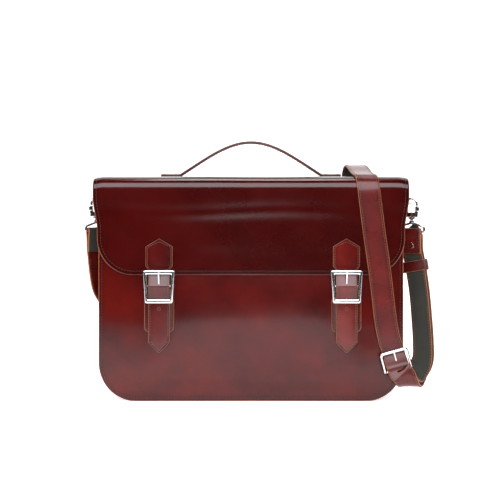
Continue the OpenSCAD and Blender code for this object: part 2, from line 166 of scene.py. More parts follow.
def leather(name, lo, hi, worn, rough=(0.26, 0.40), coat=0.35, grain=0.08, burnish=0.55, spec=0.5, mottled=14.0, coat_rough=0.16, wear=1.0):
    """Smooth-finished hide: mottled dye, pebbled grain, fine creases, darker burnish by the edge and a worn rim."""
    m = bpy.data.materials.new(name)
    nt, N, L = nodes_of(m)
    b = N["Principled BSDF"]
    uv = N.new("ShaderNodeUVMap")
    uv.uv_map = "UVMap"
    uvo = uv.outputs[0]
    big = noise(nt, uvo, mottled, 5, 0.6)
    col = ramp(nt, [(0.30, lo), (0.72, hi)], big).outputs[0]
    fine = noise(nt, uvo, 260, 4, 0.65)
    col = mixc(nt, 0.16, col, ramp(nt, [(0.3, (0.55, 0.55, 0.55)), (0.7, (1.25, 1.2, 1.2))], fine).outputs[0], "MULTIPLY")
    at = N.new("ShaderNodeAttribute")
    at.attribute_name = "edge"
    # burnish band and worn rim, broken up by noise
    brk = noise(nt, uvo, 420, 3, 0.6)
    add = N.new("ShaderNodeMath")
    add.operation = "MULTIPLY_ADD"
    add.inputs[1].default_value = 1.6
    L.new(brk, add.inputs[0])
    L.new(at.outputs["Fac"], add.inputs[2])
    b1 = ramp(nt, [(0.0, (burnish,) * 3), (1.0, (1, 1, 1))])
    mr = N.new("ShaderNodeMapRange")
    mr.inputs["From Min"].default_value = 1.2
    mr.inputs["From Max"].default_value = 9.0
    L.new(add.outputs[0], mr.inputs["Value"])
    L.new(mr.outputs[0], b1.inputs[0])
    col = mixc(nt, 1.0, col, b1.outputs[0], "MULTIPLY")
    mr2 = N.new("ShaderNodeMapRange")
    mr2.inputs["From Min"].default_value = 0.95
    mr2.inputs["From Max"].default_value = 1.75
    mr2.inputs["To Min"].default_value = wear
    mr2.inputs["To Max"].default_value = 0.0
    L.new(add.outputs[0], mr2.inputs["Value"])
    col = mixc(nt, mr2.outputs[0], col, worn)
    L.new(col, b.inputs["Base Color"])
    rr = N.new("ShaderNodeMapRange")
    rr.inputs["To Min"].default_value = rough[0]
    rr.inputs["To Max"].default_value = rough[1]
    L.new(noise(nt, uvo, 30, 2, 0.5), rr.inputs["Value"])
    L.new(rr.outputs[0], b.inputs["Roughness"])
    b.inputs["Specular IOR Level"].default_value = spec
    b.inputs["Coat Weight"].default_value = coat
    b.inputs["Coat Roughness"].default_value = coat_rough
    # grain
    vo = N.new("ShaderNodeTexVoronoi")
    vo.feature = "DISTANCE_TO_EDGE"
    vo.inputs["Scale"].default_value = 780
    warp = N.new("ShaderNodeVectorMath")
    warp.operation = "MULTIPLY_ADD"
    nz = N.new("ShaderNodeTexNoise")
    nz.inputs["Scale"].default_value = 300
    L.new(uvo, nz.inputs["Vector"])
    warp.inputs[1].default_value = (0.0012, 0.0012, 0.0)
    L.new(nz.outputs["Color"], warp.inputs[0])
    L.new(uvo, warp.inputs[2])
    L.new(warp.outputs[0], vo.inputs["Vector"])
    g = N.new("ShaderNodeMapRange")
    g.inputs["From Max"].default_value = 0.22
    L.new(vo.outputs["Distance"], g.inputs["Value"])
    bump = N.new("ShaderNodeBump")
    bump.inputs["Strength"].default_value = grain
    bump.inputs["Distance"].default_value = 0.00012
    L.new(g.outputs[0], bump.inputs["Height"])
    bump2 = N.new("ShaderNodeBump")
    bump2.inputs["Strength"].default_value = 0.22
    bump2.inputs["Distance"].default_value = 0.0004
    L.new(noise(nt, uvo, 46, 2, 0.4), bump2.inputs["Height"])
    L.new(bump.outputs[0], bump2.inputs["Normal"])
    L.new(bump2.outputs[0], b.inputs["Normal"])
    return m


def rawedge(name, lo, hi, rough=0.55):
    """Cut edge of the hide: fibrous, waxed."""
    m = bpy.data.materials.new(name)
    nt, N, L = nodes_of(m)
    b = N["Principled BSDF"]
    co = N.new("ShaderNodeTexCoord")
    o = co.outputs["Object"]
    f = noise(nt, o, 700, 5, 0.7)
    col = ramp(nt, [(0.32, lo), (0.68, hi)], f).outputs[0]
    col = mixc(nt, 0.4, col, ramp(nt, [(0.35, (0.6, 0.55, 0.5)), (0.65, (1.2, 1.15, 1.1))], noise(nt, o, 45, 3)).outputs[0], "MULTIPLY")
    L.new(col, b.inputs["Base Color"])
    rr = N.new("ShaderNodeMapRange")
    rr.inputs["To Min"].default_value = rough - 0.1
    rr.inputs["To Max"].default_value = rough + 0.15
    L.new(noise(nt, o, 300, 3), rr.inputs["Value"])
    L.new(rr.outputs[0], b.inputs["Roughness"])
    bump = N.new("ShaderNodeBump")
    bump.inputs["Strength"].default_value = 0.4
    bump.inputs["Distance"].default_value = 0.0002
    L.new(f, bump.inputs["Height"])
    L.new(bump.outputs[0], b.inputs["Normal"])
    return m


def flesh(name, lo, hi):
    """Flesh side: dull, napped."""
    m = bpy.data.materials.new(name)
    nt, N, L = nodes_of(m)
    b = N["Principled BSDF"]
    uv = N.new("ShaderNodeUVMap")
    uv.uv_map = "UVMap"
    o = uv.outputs[0]
    f = noise(nt, o, 900, 5, 0.75)
    g = noise(nt, o, 40, 4)
    col = ramp(nt, [(0.3, lo), (0.7, hi)], g).outputs[0]
    col = mixc(nt, 0.5, col, ramp(nt, [(0.3, (0.5, 0.5, 0.5)), (0.7, (1.4, 1.4, 1.4))], f).outputs[0], "MULTIPLY")
    L.new(col, b.inputs["Base Color"])
    b.inputs["Roughness"].default_value = 0.82
    b.inputs["Sheen Weight"].default_value = 0.12
    b.inputs["Sheen Roughness"].default_value = 0.6
    bump = N.new("ShaderNodeBump")
    bump.inputs["Strength"].default_value = 0.5
    bump.inputs["Distance"].default_value = 0.0003
    L.new(f, bump.inputs["Height"])
    L.new(bump.outputs[0], b.inputs["Normal"])
    return m


def metal(name, base=(0.74, 0.73, 0.74), rough=(0.05, 0.13), soften=0.0006):
    """Bright plated metal with faint handling marks and eased corners."""
    m = bpy.data.materials.new(name)
    nt, N, L = nodes_of(m)
    b = N["Principled BSDF"]
    co = N.new("ShaderNodeTexCoord")
    o = co.outputs["Object"]
    f = noise(nt, o, 90, 6, 0.65)
    col = ramp(nt, [(0.3, tuple(c * 0.86 for c in base)), (0.7, base)], f).outputs[0]
    L.new(col, b.inputs["Base Color"])
    b.inputs["Metallic"].default_value = 1.0
    rr = N.new("ShaderNodeMapRange")
    rr.inputs["To Min"].default_value = rough[0]
    rr.inputs["To Max"].default_value = rough[1]
    L.new(noise(nt, o, 260, 5, 0.7), rr.inputs["Value"])
    L.new(rr.outputs[0], b.inputs["Roughness"])
    bev = N.new("ShaderNodeBevel")
    bev.samples = 4
    bev.inputs["Radius"].default_value = soften
    bump = N.new("ShaderNodeBump")
    bump.inputs["Strength"].default_value = 0.025
    bump.inputs["Distance"].default_value = 0.0003
    L.new(noise(nt, o, 140, 3), bump.inputs["Height"])
    L.new(bev.outputs[0], bump.inputs["Normal"])
    L.new(bump.outputs[0], b.inputs["Normal"])
    return m


def thread(name, lo, hi):
    m = bpy.data.materials.new(name)
    nt, N, L = nodes_of(m)
    b = N["Principled BSDF"]
    co = N.new("ShaderNodeTexCoord")
    o = co.outputs["Object"]
    f = noise(nt, o, 1500, 3, 0.7)
    L.new(ramp(nt, [(0.3, lo), (0.7, hi)], f).outputs[0], b.inputs["Base Color"])
    b.inputs["Roughness"].default_value = 0.6
    bump = N.new("ShaderNodeBump")
    bump.inputs["Strength"].default_value = 0.5
    bump.inputs["Distance"].default_value = 0.0002
    L.new(f, bump.inputs["Height"])
    L.new(bump.outputs[0], b.inputs["Normal"])
    return m


TAN = (0.34, 0.110, 0.030)
body_m = leather("body_leather", (0.032, 0.0006, 0.0005), (0.094, 0.0034, 0.0016), (0.24, 0.052, 0.014), rough=(0.14, 0.20), coat=0.12, spec=0.33, coat_rough=0.08)
# painted shade: the flap takes a darker copy of the body leather, standing in for the shade on the flap front
flap_shaded_m = leather("flap_leather_shaded", (0.022, 0.0003, 0.0003), (0.052, 0.0014, 0.0008), (0.18, 0.040, 0.013), rough=(0.12, 0.18), mottled=7.0, coat=0.12, spec=0.34, coat_rough=0.08)
clos_m = leather("closure_leather", (0.032, 0.0006, 0.0007), (0.096, 0.0032, 0.0022), (0.30, 0.085, 0.028), rough=(0.14, 0.22), coat=0.2, spec=0.40, coat_rough=0.09)
strap_m = leather("strap_leather", (0.044, 0.0020, 0.0020), (0.130, 0.0085, 0.0055), (0.34, 0.100, 0.032), rough=(0.22, 0.34), coat=0.15, spec=0.34, coat_rough=0.09)
handle_m = leather("handle_leather", (0.026, 0.0014, 0.0014), (0.080, 0.0046, 0.0034), (0.30, 0.08, 0.026))
inner_m = leather("inner_leather", (0.016, 0.0040, 0.0040), (0.044, 0.0080, 0.0070), (0.16, 0.05, 0.020), rough=(0.45, 0.6), coat=0.0)
edge_tan = rawedge("raw_edge_tan", (0.20, 0.052, 0.014), TAN)
edge_dark = rawedge("raw_edge_dark", (0.030, 0.006, 0.004), (0.110, 0.022, 0.012), 0.42)
edge_red = rawedge("raw_edge_red", (0.050, 0.0070, 0.0034), (0.150, 0.030, 0.012), 0.40)
edge_mid = rawedge("raw_edge_mid", (0.110, 0.026, 0.009), (0.260, 0.080, 0.024), 0.48)
flesh_m = flesh("flesh_side", (0.018, 0.012, 0.006), (0.050, 0.032, 0.014))
flesh_olive = flesh("flesh_side_strap", (0.006, 0.006, 0.003), (0.017, 0.017, 0.008))
thread_m = thread("stitch_thread", (0.12, 0.026, 0.014), (0.26, 0.070, 0.034))
thread_d = thread("stitch_thread_dark", (0.030, 0.006, 0.005), (0.085, 0.018, 0.012))
chrome = metal("bright_plate")
snap_metal = metal("snap_plate_finish", (0.62, 0.60, 0.56), (0.16, 0.30))


# ------------------------------------------------------------- mesh builders
def sheet_solid(name, G, thk, mats, uv, wave_back=True, rim=0.55):
    """Sheet of hide with thickness. G[rows][cols] is the outer face, row by row; the sheet goes to the other side of its normal.
    mats: outer face, raw edge, inner face."""
    G = np.array(G, float)
    R, Cn, _ = G.shape
    du = np.gradient(G, axis=1)
    dv = np.gradient(G, axis=0)
    nrm = np.cross(du, dv)
    nrm /= np.maximum(1e-9, np.linalg.norm(nrm, axis=2, keepdims=True))
    B = G - nrm * thk
    idx = lambda i, j: i * Cn + j
    ring = [(0, j) for j in range(Cn)] + [(i, Cn - 1) for i in range(1, R)] + \
        [(R - 1, j) for j in range(Cn - 2, -1, -1)] + [(i, 0) for i in range(R - 2, 0, -1)]
    verts = list(G.reshape(-1, 3)) + list(B.reshape(-1, 3))
    nb = R * Cn
    UV = list(np.array(uv, float).reshape(-1, 2)) * 2
    # distance to the raw edge
    P = G.reshape(-1, 3)
    E = np.array([G[i, j] for i, j in ring])
    dist = np.empty(len(P))
    for s in range(0, len(P), 2000):
        dist[s:s + 2000] = np.sqrt(((P[s:s + 2000, None, :] - E[None]) ** 2).sum(2)).min(1)
    edge = list(dist) + list(dist)
    faces, fm = [], []
    for i in range(R - 1):
        for j in range(Cn - 1):
            faces.append((idx(i, j), idx(i, j + 1), idx(i + 1, j + 1), idx(i + 1, j)))
            fm.append(0)
            faces.append((nb + idx(i, j), nb + idx(i + 1, j), nb + idx(i + 1, j + 1), nb + idx(i, j + 1)))
            fm.append(2)
    # rounded rim: three rings between the faces
    m = len(ring)
    base = len(verts)
    levels = [(0.16, 0.62), (0.5, 1.0), (0.84, 0.62)]
    for depth, out in levels:
        for k, (i, j) in enumerate(ring):
            a = np.array(G[ring[(k - 1) % m]])
            c = np.array(G[ring[(k + 1) % m]])
            t = unit(c - a)
            o = unit(np.cross(t, nrm[i, j]))
            verts.append(G[i, j] - nrm[i, j] * thk * depth + o * rim * out)
            UV.append(UV[idx(i, j)])
            edge.append(0.0)
    loops = [[idx(*r) for r in ring]] + [[base + q * m + k for k in range(m)] for q in range(3)] + [[nb + idx(*r) for r in ring]]
    for q in range(4):
        A, Bq = loops[q], loops[q + 1]
        for k in range(m):
            faces.append((A[k], Bq[k], Bq[(k + 1) % m], A[(k + 1) % m]))
            fm.append(1)
    return new_mesh(name, verts, faces, mats, fm, UV, edge)


def ribbon(name, C, W, wid, thk, mats, tip=0.0, nx=12, round_=0.32, groove=2.6, crown=0.0, flip=False, tip_min=0.10, u0=0.0, wfun=None, caps=True):
    """Flat strap along C with width directions W. Rounded raw edges, a stitch groove near each edge."""
    C = [v3(c) for c in C]
    W = [v3(w) for w in W]
    n = len(C)
    left = [np.linalg.norm(C[-1] - c) for c in C]
    s = [0.0]
    for i in range(1, n):
        s.append(s[-1] + np.linalg.norm(C[i] - C[i - 1]))
    verts, UV, edge, faces, fm = [], [], [], [], []
    sg = -1.0 if flip else 1.0
    ts = np.linspace(-1, 1, nx + 1)
    ts = np.sign(ts) * (1 - (1 - np.abs(ts)) ** 1.35)
    K = 2 * (nx + 1) + 6
    for i in range(n):
        w = across(C, W, i)
        m = face_n(C, W, i) * sg
        h = wid / 2
        if wfun is not None:
            h = wfun(s[i], C[i])
        elif tip > 0 and i > n / 2 and left[i] < tip:
            q = left[i] / tip
            h = wid / 2 * max(tip_min, 1 - (1 - q) ** 1.6)
        c = min(round_ * thk, h * 0.5)
        hi = max(h - c, 0.02)
        row = []
        for t in ts:
            x = t * hi
            d = h - abs(x)
            g = 0.16 * math.exp(-((d - groove) / 0.55) ** 2) if h > 6 else 0.0
            row.append((x, thk / 2 - g + crown * (1 - t * t), d, 0))
        row += [(h - c * 0.35, thk * 0.36, 0.15, 1), (h, 0.0, 0.0, 1), (h - c * 0.35, -thk * 0.36, 0.15, 1)]
        for t in ts[::-1]:
            x = t * hi
            row.append((x, -thk / 2 + crown * (1 - t * t), h - abs(x), 2))
        row += [(-h + c * 0.35, -thk * 0.36, 0.15, 1), (-h, 0.0, 0.0, 1), (-h + c * 0.35, thk * 0.36, 0.15, 1)]
        for x, z, d, _ in row:
            verts.append(C[i] + w * x + m * z)
            UV.append((s[i] + u0, x))
            edge.append(min(d, s[i] + 0.4, s[-1] - s[i] + 0.4) if caps else d)
    for i in range(n - 1):
        for k in range(K):
            a, b = i * K + k, i * K + (k + 1) % K
            f = (a, b, b + K, a + K)
            faces.append(f if flip else f[::-1])
            if k < nx:
                fm.append(0)
            elif k < nx + 4:
                fm.append(1)
            elif k < 2 * nx + 4:
                fm.append(2)
            else:
                fm.append(1)
    if caps:
        for i, fl in ((0, False), (n - 1, True)):
            ring = [i * K + k for k in range(K)]
            cidx = len(verts)
            verts.append(C[i] + tang(C, i) * (-0.35 if i == 0 else 0.35))
            UV.append((s[i] + u0, 0))
            edge.append(0.0)
            for k in range(K):
                f = (ring[k], ring[(k + 1) % K], cidx)
                faces.append(f if (fl == flip) else f[::-1])
                fm.append(1)
    ob = new_mesh(name, verts, faces, mats, fm, UV, edge)
    bm = bmesh.new()
    bm.from_mesh(ob.data)
    bmesh.ops.recalc_face_normals(bm, faces=bm.faces)
    bm.to_mesh(ob.data)
    bm.free()
    return ob


def stitches(name, lines, mat, pitch=3.6, length=2.7, r=0.36, lift=0.12):
    """Rows of sewn stitches. lines: list of (points, normals), in millimetres."""
    verts, faces = [], []
    rnd = random.Random(7)
    for pts, nrm in lines:
        pts = [v3(p) for p in pts]
        nrm = [v3(q) for q in nrm]
        seg = [0.0]
        for i in range(1, len(pts)):
            seg.append(seg[-1] + np.linalg.norm(pts[i] - pts[i - 1]))
        total = seg[-1]
        cnt = int(total / pitch)
        if cnt < 1:
            continue
        j = 0
        for k in range(cnt):
            d = (k + 0.5) * total / cnt
            while j < len(seg) - 2 and seg[j + 1] < d:
                j += 1
            f = (d - seg[j]) / max(1e-9, seg[j + 1] - seg[j])
            p = pts[j] * (1 - f) + pts[j + 1] * f
            t = unit(pts[j + 1] - pts[j])
            n = unit(nrm[j] * (1 - f) + nrm[min(j + 1, len(nrm) - 1)] * f)
            b = unit(np.cross(n, t))
            n = np.cross(t, b)
            t = unit(t + b * rnd.uniform(-0.07, 0.07))
            p = p + n * lift
            base = len(verts)
            L2 = length / 2 * rnd.uniform(0.92, 1.05)
            prof = [(-1.0, 0.25, -0.35), (-0.72, 0.85, 0.0), (0.0, 1.0, 0.12), (0.72, 0.85, 0.0), (1.0, 0.25, -0.35)]
            for q, rr, dz in prof:
                for a in range(6):
                    an = a * math.pi / 3
                    verts.append(p + t * (q * L2) + (b * math.cos(an) + n * math.sin(an)) * r * rr + n * dz * r)
            for q in range(4):
                for a in range(6):
                    faces.append((base + q * 6 + a, base + q * 6 + (a + 1) % 6, base + (q + 1) * 6 + (a + 1) % 6, base + (q + 1) * 6 + a))
            faces.append(tuple(base + a for a in range(6))[::-1])
            faces.append(tuple(base + 24 + a for a in range(6)))
    ob = new_mesh(name, verts, faces, [mat])
    return ob


def strap_lines(C, W, off, thk, side=1.0, i0=0, i1=None):
    """Stitch lines that follow a strap, off mm from its middle, on one face."""
    C = [v3(c) for c in C]
    W = [v3(w) for w in W]
    i1 = len(C) if i1 is None else i1
    out = []
    for s in (-1, 1):
        P = [C[i] + across(C, W, i) * s * off + face_n(C, W, i) * side * thk / 2 for i in range(i0, i1)]
        Nn = [face_n(C, W, i) * side for i in range(i0, i1)]
        out.append((P, Nn))
    return out


# ------------------------------------------------------------------- the body
HW, CR = 190.0, 48.0


def half_w(z, half=HW, r=CR, z0=0.0):
    d = z - z0
    if d >= r:
        return half
    d = max(d, 0.0)
    return half - r + math.sqrt(max(0.0, r * r - (r - d) ** 2))


def rows_z(z0, z1, r, n_low=26, n_up=46):
    a = [z0 + r * (1 - math.cos(t)) for t in np.linspace(0, math.pi / 2, n_low)]
    b = list(np.linspace(z0 + r, z1, n_up))[1:]
    return a + b


def cols(n=84):
    t = np.linspace(-1, 1, n + 1)
    return np.sign(t) * (1 - (1 - np.abs(t)) ** 1.25)


def front_y(x, z):
    """Soft swell of the front, fuller low down, with shallow waves in the hide."""
    ex = 1 - abs(x / 190.0) ** 5
    low = math.sin(math.pi * min(1.0, max(0.0, z) / 44.0) / 2)
    up = 1 - ss(z, 92, 160)
    y = -45.0 - 2.5 * ex * low * (0.16 + 0.84 * up)
    y -= 0.32 * ex * low * up * math.sin(x / 47.0 + 1.1) * math.cos(z / 30.0 + 0.4 + x / 160.0)
    y -= 0.10 * ex * low * math.sin(x / 21.0 + z / 34.0)
    # sides lean out a little towards the bottom; a soft fold runs along the bottom
    y -= 1.5 * ex * ss(abs(x), 84, 135) * ss(z, 3, 14) * (1 - ss(z, 18, 92))
    y -= 0.30 * ex * math.sin(z / 3.6 + 0.9 * math.sin(x / 52.0) + 0.8) * ss(z, 6, 14) * (1 - ss(z, 34, 58)) * (1 - 0.6 * ss(abs(x), 90, 150))
    return y


T = cols()
Z = rows_z(0.6, 267.6, CR)
G = [[(t * (half_w(z) - 0.4), front_y(t * half_w(z), z), z) for t in T] for z in Z]
front = sheet_solid("front_skin", G, 2.9, [body_m, edge_tan, flesh_m], [[(p[0], p[2]) for p in r] for r in G])
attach(front, "body")
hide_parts("front_panel")

Zb = rows_z(0.6, 276.4, CR)


def back_y(x, z):
    ex = 1 - abs(x / 190.0) ** 5
    return 45.0 + 1.1 * ex * math.sin(math.pi * min(1.0, max(0.0, z) / 60.0) / 2) * (1 - ss(z, 180, 238)) + 0.15 * ex * math.sin(x / 33.0 + z / 41.0)


G = [[(-t * (half_w(z) - 0.4), back_y(t * half_w(z), z), z) for t in T] for z in Zb]
back = sheet_solid("back_skin", G, 2.9, [body_m, edge_tan, flesh_m], [[(p[0], p[2]) for p in r] for r in G])
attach(back, "body")
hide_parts("back_panel")


def outline(u, off, top):
    """Point on the U outline, off mm inside it. u from 0 to 1, left top to right top."""
    r = CR - off
    side = top - CR
    arc = math.pi / 2 * CR
    bot = 2 * (HW - CR)
    tot = 2 * side + 2 * arc + bot
    d = u * tot
    if d <= side:
        return (-(HW - off), top - d)
    d -= side
    if d <= arc:
        a = d / CR
        return (-(HW - CR) - r * math.cos(a), CR - r * math.sin(a))
    d -= arc
    if d <= bot:
        return (-(HW - CR) + d, off)
    d -= bot
    if d <= arc:
        a = d / CR
        return ((HW - CR) + r * math.sin(a), CR - r * math.cos(a))
    d -= arc
    return (HW - off, CR + d)


def seam_line(off, top, n, yf_, sgn):
    P = []
    for k in range(n + 1):
        x, z = outline(k / n, off, top)
        P.append((x, yf_(x, z) + sgn * 0.0, z))
    return P


L1_ = seam_line(4.2, 262, 420, front_y, 1)
st = stitches("front_seam", [(L1_, [(0, -1, 0)] * len(L1_))], thread_d, lift=0.10)
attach(st, "body")
L2_ = seam_line(4.2, 270, 420, back_y, 1)
st = stitches("back_seam", [(L2_, [(0, 1, 0)] * len(L2_))], thread_d, lift=0.10)
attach(st, "body")

# side and bottom strip with its turned-out seam edges, pinched in along the middle
prof = [(0.3, -41.9), (3.0, -41.9), (5.4, -41.8), (7.2, -41.2), (8.2, -39.6), (8.5, -37.0)]
inner = [(8.5, y) for y in np.linspace(-34, 34, 25)]
prof = prof + inner + [(o, -y) for o, y in prof[::-1]]
top_g = 271.6
nu = 190
G, UVg = [], []
for k in range(nu + 1):
    u = k / nu
    row, uvr = [], []
    x0, z0_ = outline(u, 0, top_g)
    high = ss(z0_, 20, 70) * (1 - ss(z0_, 165, 222))
    acc = 0.0
    for q, (off, y) in enumerate(prof):
        pinch = 0.0
        if abs(y) < 36:
            pinch = (1 - (y / 36.0) ** 2) * (0.5 + 4.2 * high) + 0.25 * math.sin(y / 5.0 + z0_ / 17.0)
        x, z = outline(u, off + pinch, top_g)
        if z < 0.2:
            z = 0.2
        row.append((x, y, z))
        if q:
            acc += math.hypot(off - prof[q - 1][0], y - prof[q - 1][1])
        uvr.append((u * 900.0, acc))
    G.append(row)
    UVg.append(uvr)
gus = sheet_solid("gusset_skin", G, 2.6, [body_m, edge_tan, flesh_m], UVg, rim=0.4)
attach(gus, "body")
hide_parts("gusset")


def flat_piece(name, outline_fn, y_fn, zs, ts, thk, mats, face=-1):
    """Flat piece of hide facing -Y (face -1) or +Y (face 1). outline_fn(z) gives the left and right edge."""
    G = []
    for z in zs:
        a, b = outline_fn(z)
        row = []
        for t in ts:
            x = a + (b - a) * (t + 1) / 2
            row.append((x, y_fn(x, z), z))
        G.append(row if face < 0 else row[::-1])
    return sheet_solid(name, G, thk, mats, [[(p[0], p[2]) for p in r] for r in G], rim=0.4)


# divider and slip pocket inside
zs = [8 + (CR - 11) * (1 - math.cos(t)) + 3.2 for t in np.linspace(0.05, math.pi / 2, 12)] + list(np.linspace(50, 235, 26))
div = flat_piece("divider_skin", lambda z: (-half_w(z, 178.2, 36.5, 11), half_w(z, 178.2, 36.5, 11)), lambda x, z: -1.0 + 0.5 * math.sin(x / 50.0) * math.sin(z / 60.0), zs, cols(40), 2.2, [inner_m, edge_tan, flesh_m])
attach(div, "body")
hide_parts("divider")
pk = flat_piece("slip_pocket_skin", lambda z: (-half_w(z, 90, 10, 96), half_w(z, 90, 10, 96)), lambda x, z: 40.0 - 0.25 * math.sin(x / 28.0), [96.2, 97, 98.5, 101, 106] + list(np.linspace(112, 218, 18)), cols(30), 1.9, [inner_m, edge_tan, flesh_m])
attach(pk, "body")
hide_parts("slip_pocket")
Pk = [(-86, 39.9, 216)] + [(-86, 39.9, z) for z in range(212, 104, -4)] + [(-84, 39.9, 101), (-80, 39.9, 100)] + [(x, 39.9, 100) for x in range(-76, 77, 4)] + [(80, 39.9, 100), (84, 39.9, 101)] + [(86, 39.9, z) for z in range(104, 217, 4)]
st = stitches("pocket_seam", [(Pk, [(0, -1, 0)] * len(Pk))], thread_d)
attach(st, "body")

# ------------------------------------------------------------------- the flap
FB = 158.0
path = []          # outer face of the flap in (y, z), from the front edge to the end of the sewn-down part
for z in [FB + 0.3 + 44.7 * (1 - math.cos(t)) for t in np.linspace(0, math.pi / 2, 22)]:
    path.append((-49.5, z))
for z in np.linspace(FB + 45, 266, 26)[1:]:
    path.append((-49.5, z))
for a in np.linspace(0, math.pi / 2, 16)[1:]:
    path.append((-35.5 - 14 * math.cos(a), 266 + 14 * math.sin(a)))
for y in np.linspace(-35.5, 43.5, 26)[1:]:
    path.append((y, 280.0))
for a in np.linspace(0, math.pi / 2, 8)[1:]:
    path.append((43.5 + 4 * math.sin(a), 276 + 4 * math.cos(a)))
for z in np.linspace(276, 243.4, 12)[1:]:
    path.append((47.5, z))


def flap_half(y, z):
    if y < -49.0 and z < 212:
        return half_w(z, 191.5, 45.0, FB)
    if y < -30 and z < 256:
        return 191.5 + 5.5 * ss(z, 212, 256)
    if y < 42:
        return 197.0
    return 197.0 - 7.4 * ss(-z, -276, -262)


def flap_pt(x, y, z):
    """Shallow waves in the front, a slight sink between the handle's ends, and drooping side edges."""
    ny, nz = 0.0, 0.0
    if y <= -49.49:
        ny = 1.0
    elif z > 279.99:
        nz = -1.0
    elif y < -35:
        a = math.atan2(z - 266, -35.5 - y)
        ny, nz = math.cos(a), -math.sin(a)
    d = 0.0
    if y < -35 and z > FB:
        h = ss(z, FB + 2, FB + 30)
        d += 0.30 * h * (0.5 + 0.5 * math.sin(z / 11.5 + 0.8 + 0.45 * math.sin(x / 37.0))) * (1 - ss(z, 258, 272))
        d += 0.30 * h * (0.5 + 0.5 * math.sin(x / 29.0 + z / 44.0))
        zc = 237 + 2.2 * math.sin(x / 44.0 + 0.6)
        d += h * (0.45 - 0.85 * math.exp(-((z - zc) / 9.5) ** 2) * (0.72 + 0.28 * math.cos((x + 20) / 58.0)))
    if z > 279.99:
        d += 0.8 * (1 - ss(abs(x), 40, 84)) * math.sin(math.pi * (y + 36) / 80.0) ** 2
    yy, zz = y + ny * d, z + nz * d
    if z > 255 and abs(x) > 184:
        zz -= 2.0 * ss(abs(x), 184, 198) * ss(z, 255, 272)
    return (x, yy, zz)


G, UVf = [], []
acc = 0.0
Tf = cols(96)
for k, (y, z) in enumerate(path):
    if k:
        acc += math.hypot(y - path[k - 1][0], z - path[k - 1][1])
    h = flap_half(y, z) - 0.5
    G.append([flap_pt(t * h, y, z) for t in Tf])
    UVf.append([(t * h, acc) for t in Tf])
flap = sheet_solid("flap_skin", G, 2.9, [flap_shaded_m, edge_red, flesh_m], UVf, rim=0.6)
bend(flap)
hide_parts("flap", "flap_anchor")

# stitch line round the flap
P, Nn = [], []
side = []
for k, (y, z) in enumerate(path):
    h = flap_half(y, z) - 4.6
    if y < -49.0 and z < FB + 45:
        continue
    if z < 276 and y > 47:
        continue
    side.append((h, y, z))
left_up = [((-h, y, z)) for h, y, z in side]
arc = [(-146.5 - 40.4 * math.cos(a), FB + 45 - 40.4 * math.sin(a)) for a in np.linspace(0, math.pi / 2, 24)]
bottom = [(x, FB + 4.6) for x in np.linspace(-146.5, 146.5, 90)[1:-1]]
arc2 = [(-x, z) for x, z in arc[::-1]]
line = [(x, y, z) for x, y, z in left_up[::-1]] + [(x, -49.5, z) for x, z in arc + bottom + arc2] + [(-x, y, z) for x, y, z in left_up]
for x, y, z in line:
    q = flap_pt(x, y, z)
    P.append(q)
    if y <= -49.49:
        Nn.append((0, -1, 0))
    elif z > 279.99:
        Nn.append((0, 0, 1))
    else:
        a = math.atan2(z - 266, -35.5 - y) if y < 0 else math.pi / 2
        Nn.append((0, -math.cos(a), math.sin(a)))
st = stitches("flap_seam", [(P, Nn)], thread_d)
bend(st)
# two rows that hold the flap to the back
L = [([(x, 47.55, z) for x in np.linspace(184, -184, 120)], [(0, 1, 0)] * 120) for z in (248, 262)]
st = stitches("flap_anchor_seam", L, thread_d)
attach(st, "body")


# ----------------------------------------------------------------- the handle
def hz(x):
    s = min(1.0, abs(x) / 90.0)
    return 281.5 + 42 * (0.3 * (1 + math.cos(math.pi * s)) / 2 + 0.7 * (1 - s * s))


Ch = [(x, 0.0, hz(x) + 0.05) for x in np.linspace(-114.6, 114.6, 150)]
Wh = [(0.0, 1.0, 0.0)] * len(Ch)


def handle_w(s, c):
    d = 115 - abs(c[0])
    return 14.0 * (0.90 + 0.10 * ss(d, 0, 4)) - 1.2 * (1 - ss(abs(c[0]), 20, 95))


handle = ribbon("handle_strap", Ch, Wh, 28, 3.0, [handle_m, edge_dark, handle_m], wfun=handle_w, nx=14, flip=True, groove=3.0)
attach(handle, "flap")
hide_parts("handle")
L = strap_lines(Ch, Wh, 10.6, 3.1, -1.0, 3, len(Ch) - 3)
st = stitches("handle_seam", L, thread_m)
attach(st, "flap")
for sx in (-1, 1):
    # box seam where the handle is sewn down
    P = [(sx * x, y, 283.1) for x, y in [(111, -10.5)] + [(111, y) for y in range(-8, 9, 2)] + [(111, 10.5)]]
    P2 = [(sx * x, y, 283.1) for x, y in [(96, -10.5)] + [(96, y) for y in range(-8, 9, 2)] + [(96, 10.5)]]
    st = stitches("handle_box_%s" % ("l" if sx < 0 else "r"), [(P, [(0, 0, 1)] * len(P)), (P2, [(0, 0, 1)] * len(P2))], thread_m)
    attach(st, "flap")

# patches under the flap that back the handle's ends
for sx, nm in ((-1, "l"), (1, "r")):
    G = []
    for y in np.linspace(-17.6, 17.6, 12):
        w = 16.6 - 3.0 * (1 - math.sqrt(max(0.0, 1 - (max(0.0, abs(y) - 14.6) / 3.0) ** 2)))
        G.append([(sx * 100 + t * w, y, 274.9) for t in np.linspace(1, -1, 12)])
    pt = sheet_solid("handle_patch_" + nm, G, -2.0, [inner_m, edge_dark, flesh_m], [[(p[0], p[1]) for p in r] for r in G], rim=-0.3)
    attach(pt, "flap")
    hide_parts("handle_backing")

# ------------------------------------------------------------------ closures
cs = [(-50.85, 166.8), (-50.9, 164), (-51.1, 158), (-53, 151.5), (-55.7, 145.5), (-55.9, 142.5),
      (-54.4, 135), (-52.8, 129), (-52.4, 124), (-52.5, 114), (-52.6, 90), (-52.8, 61.9)]


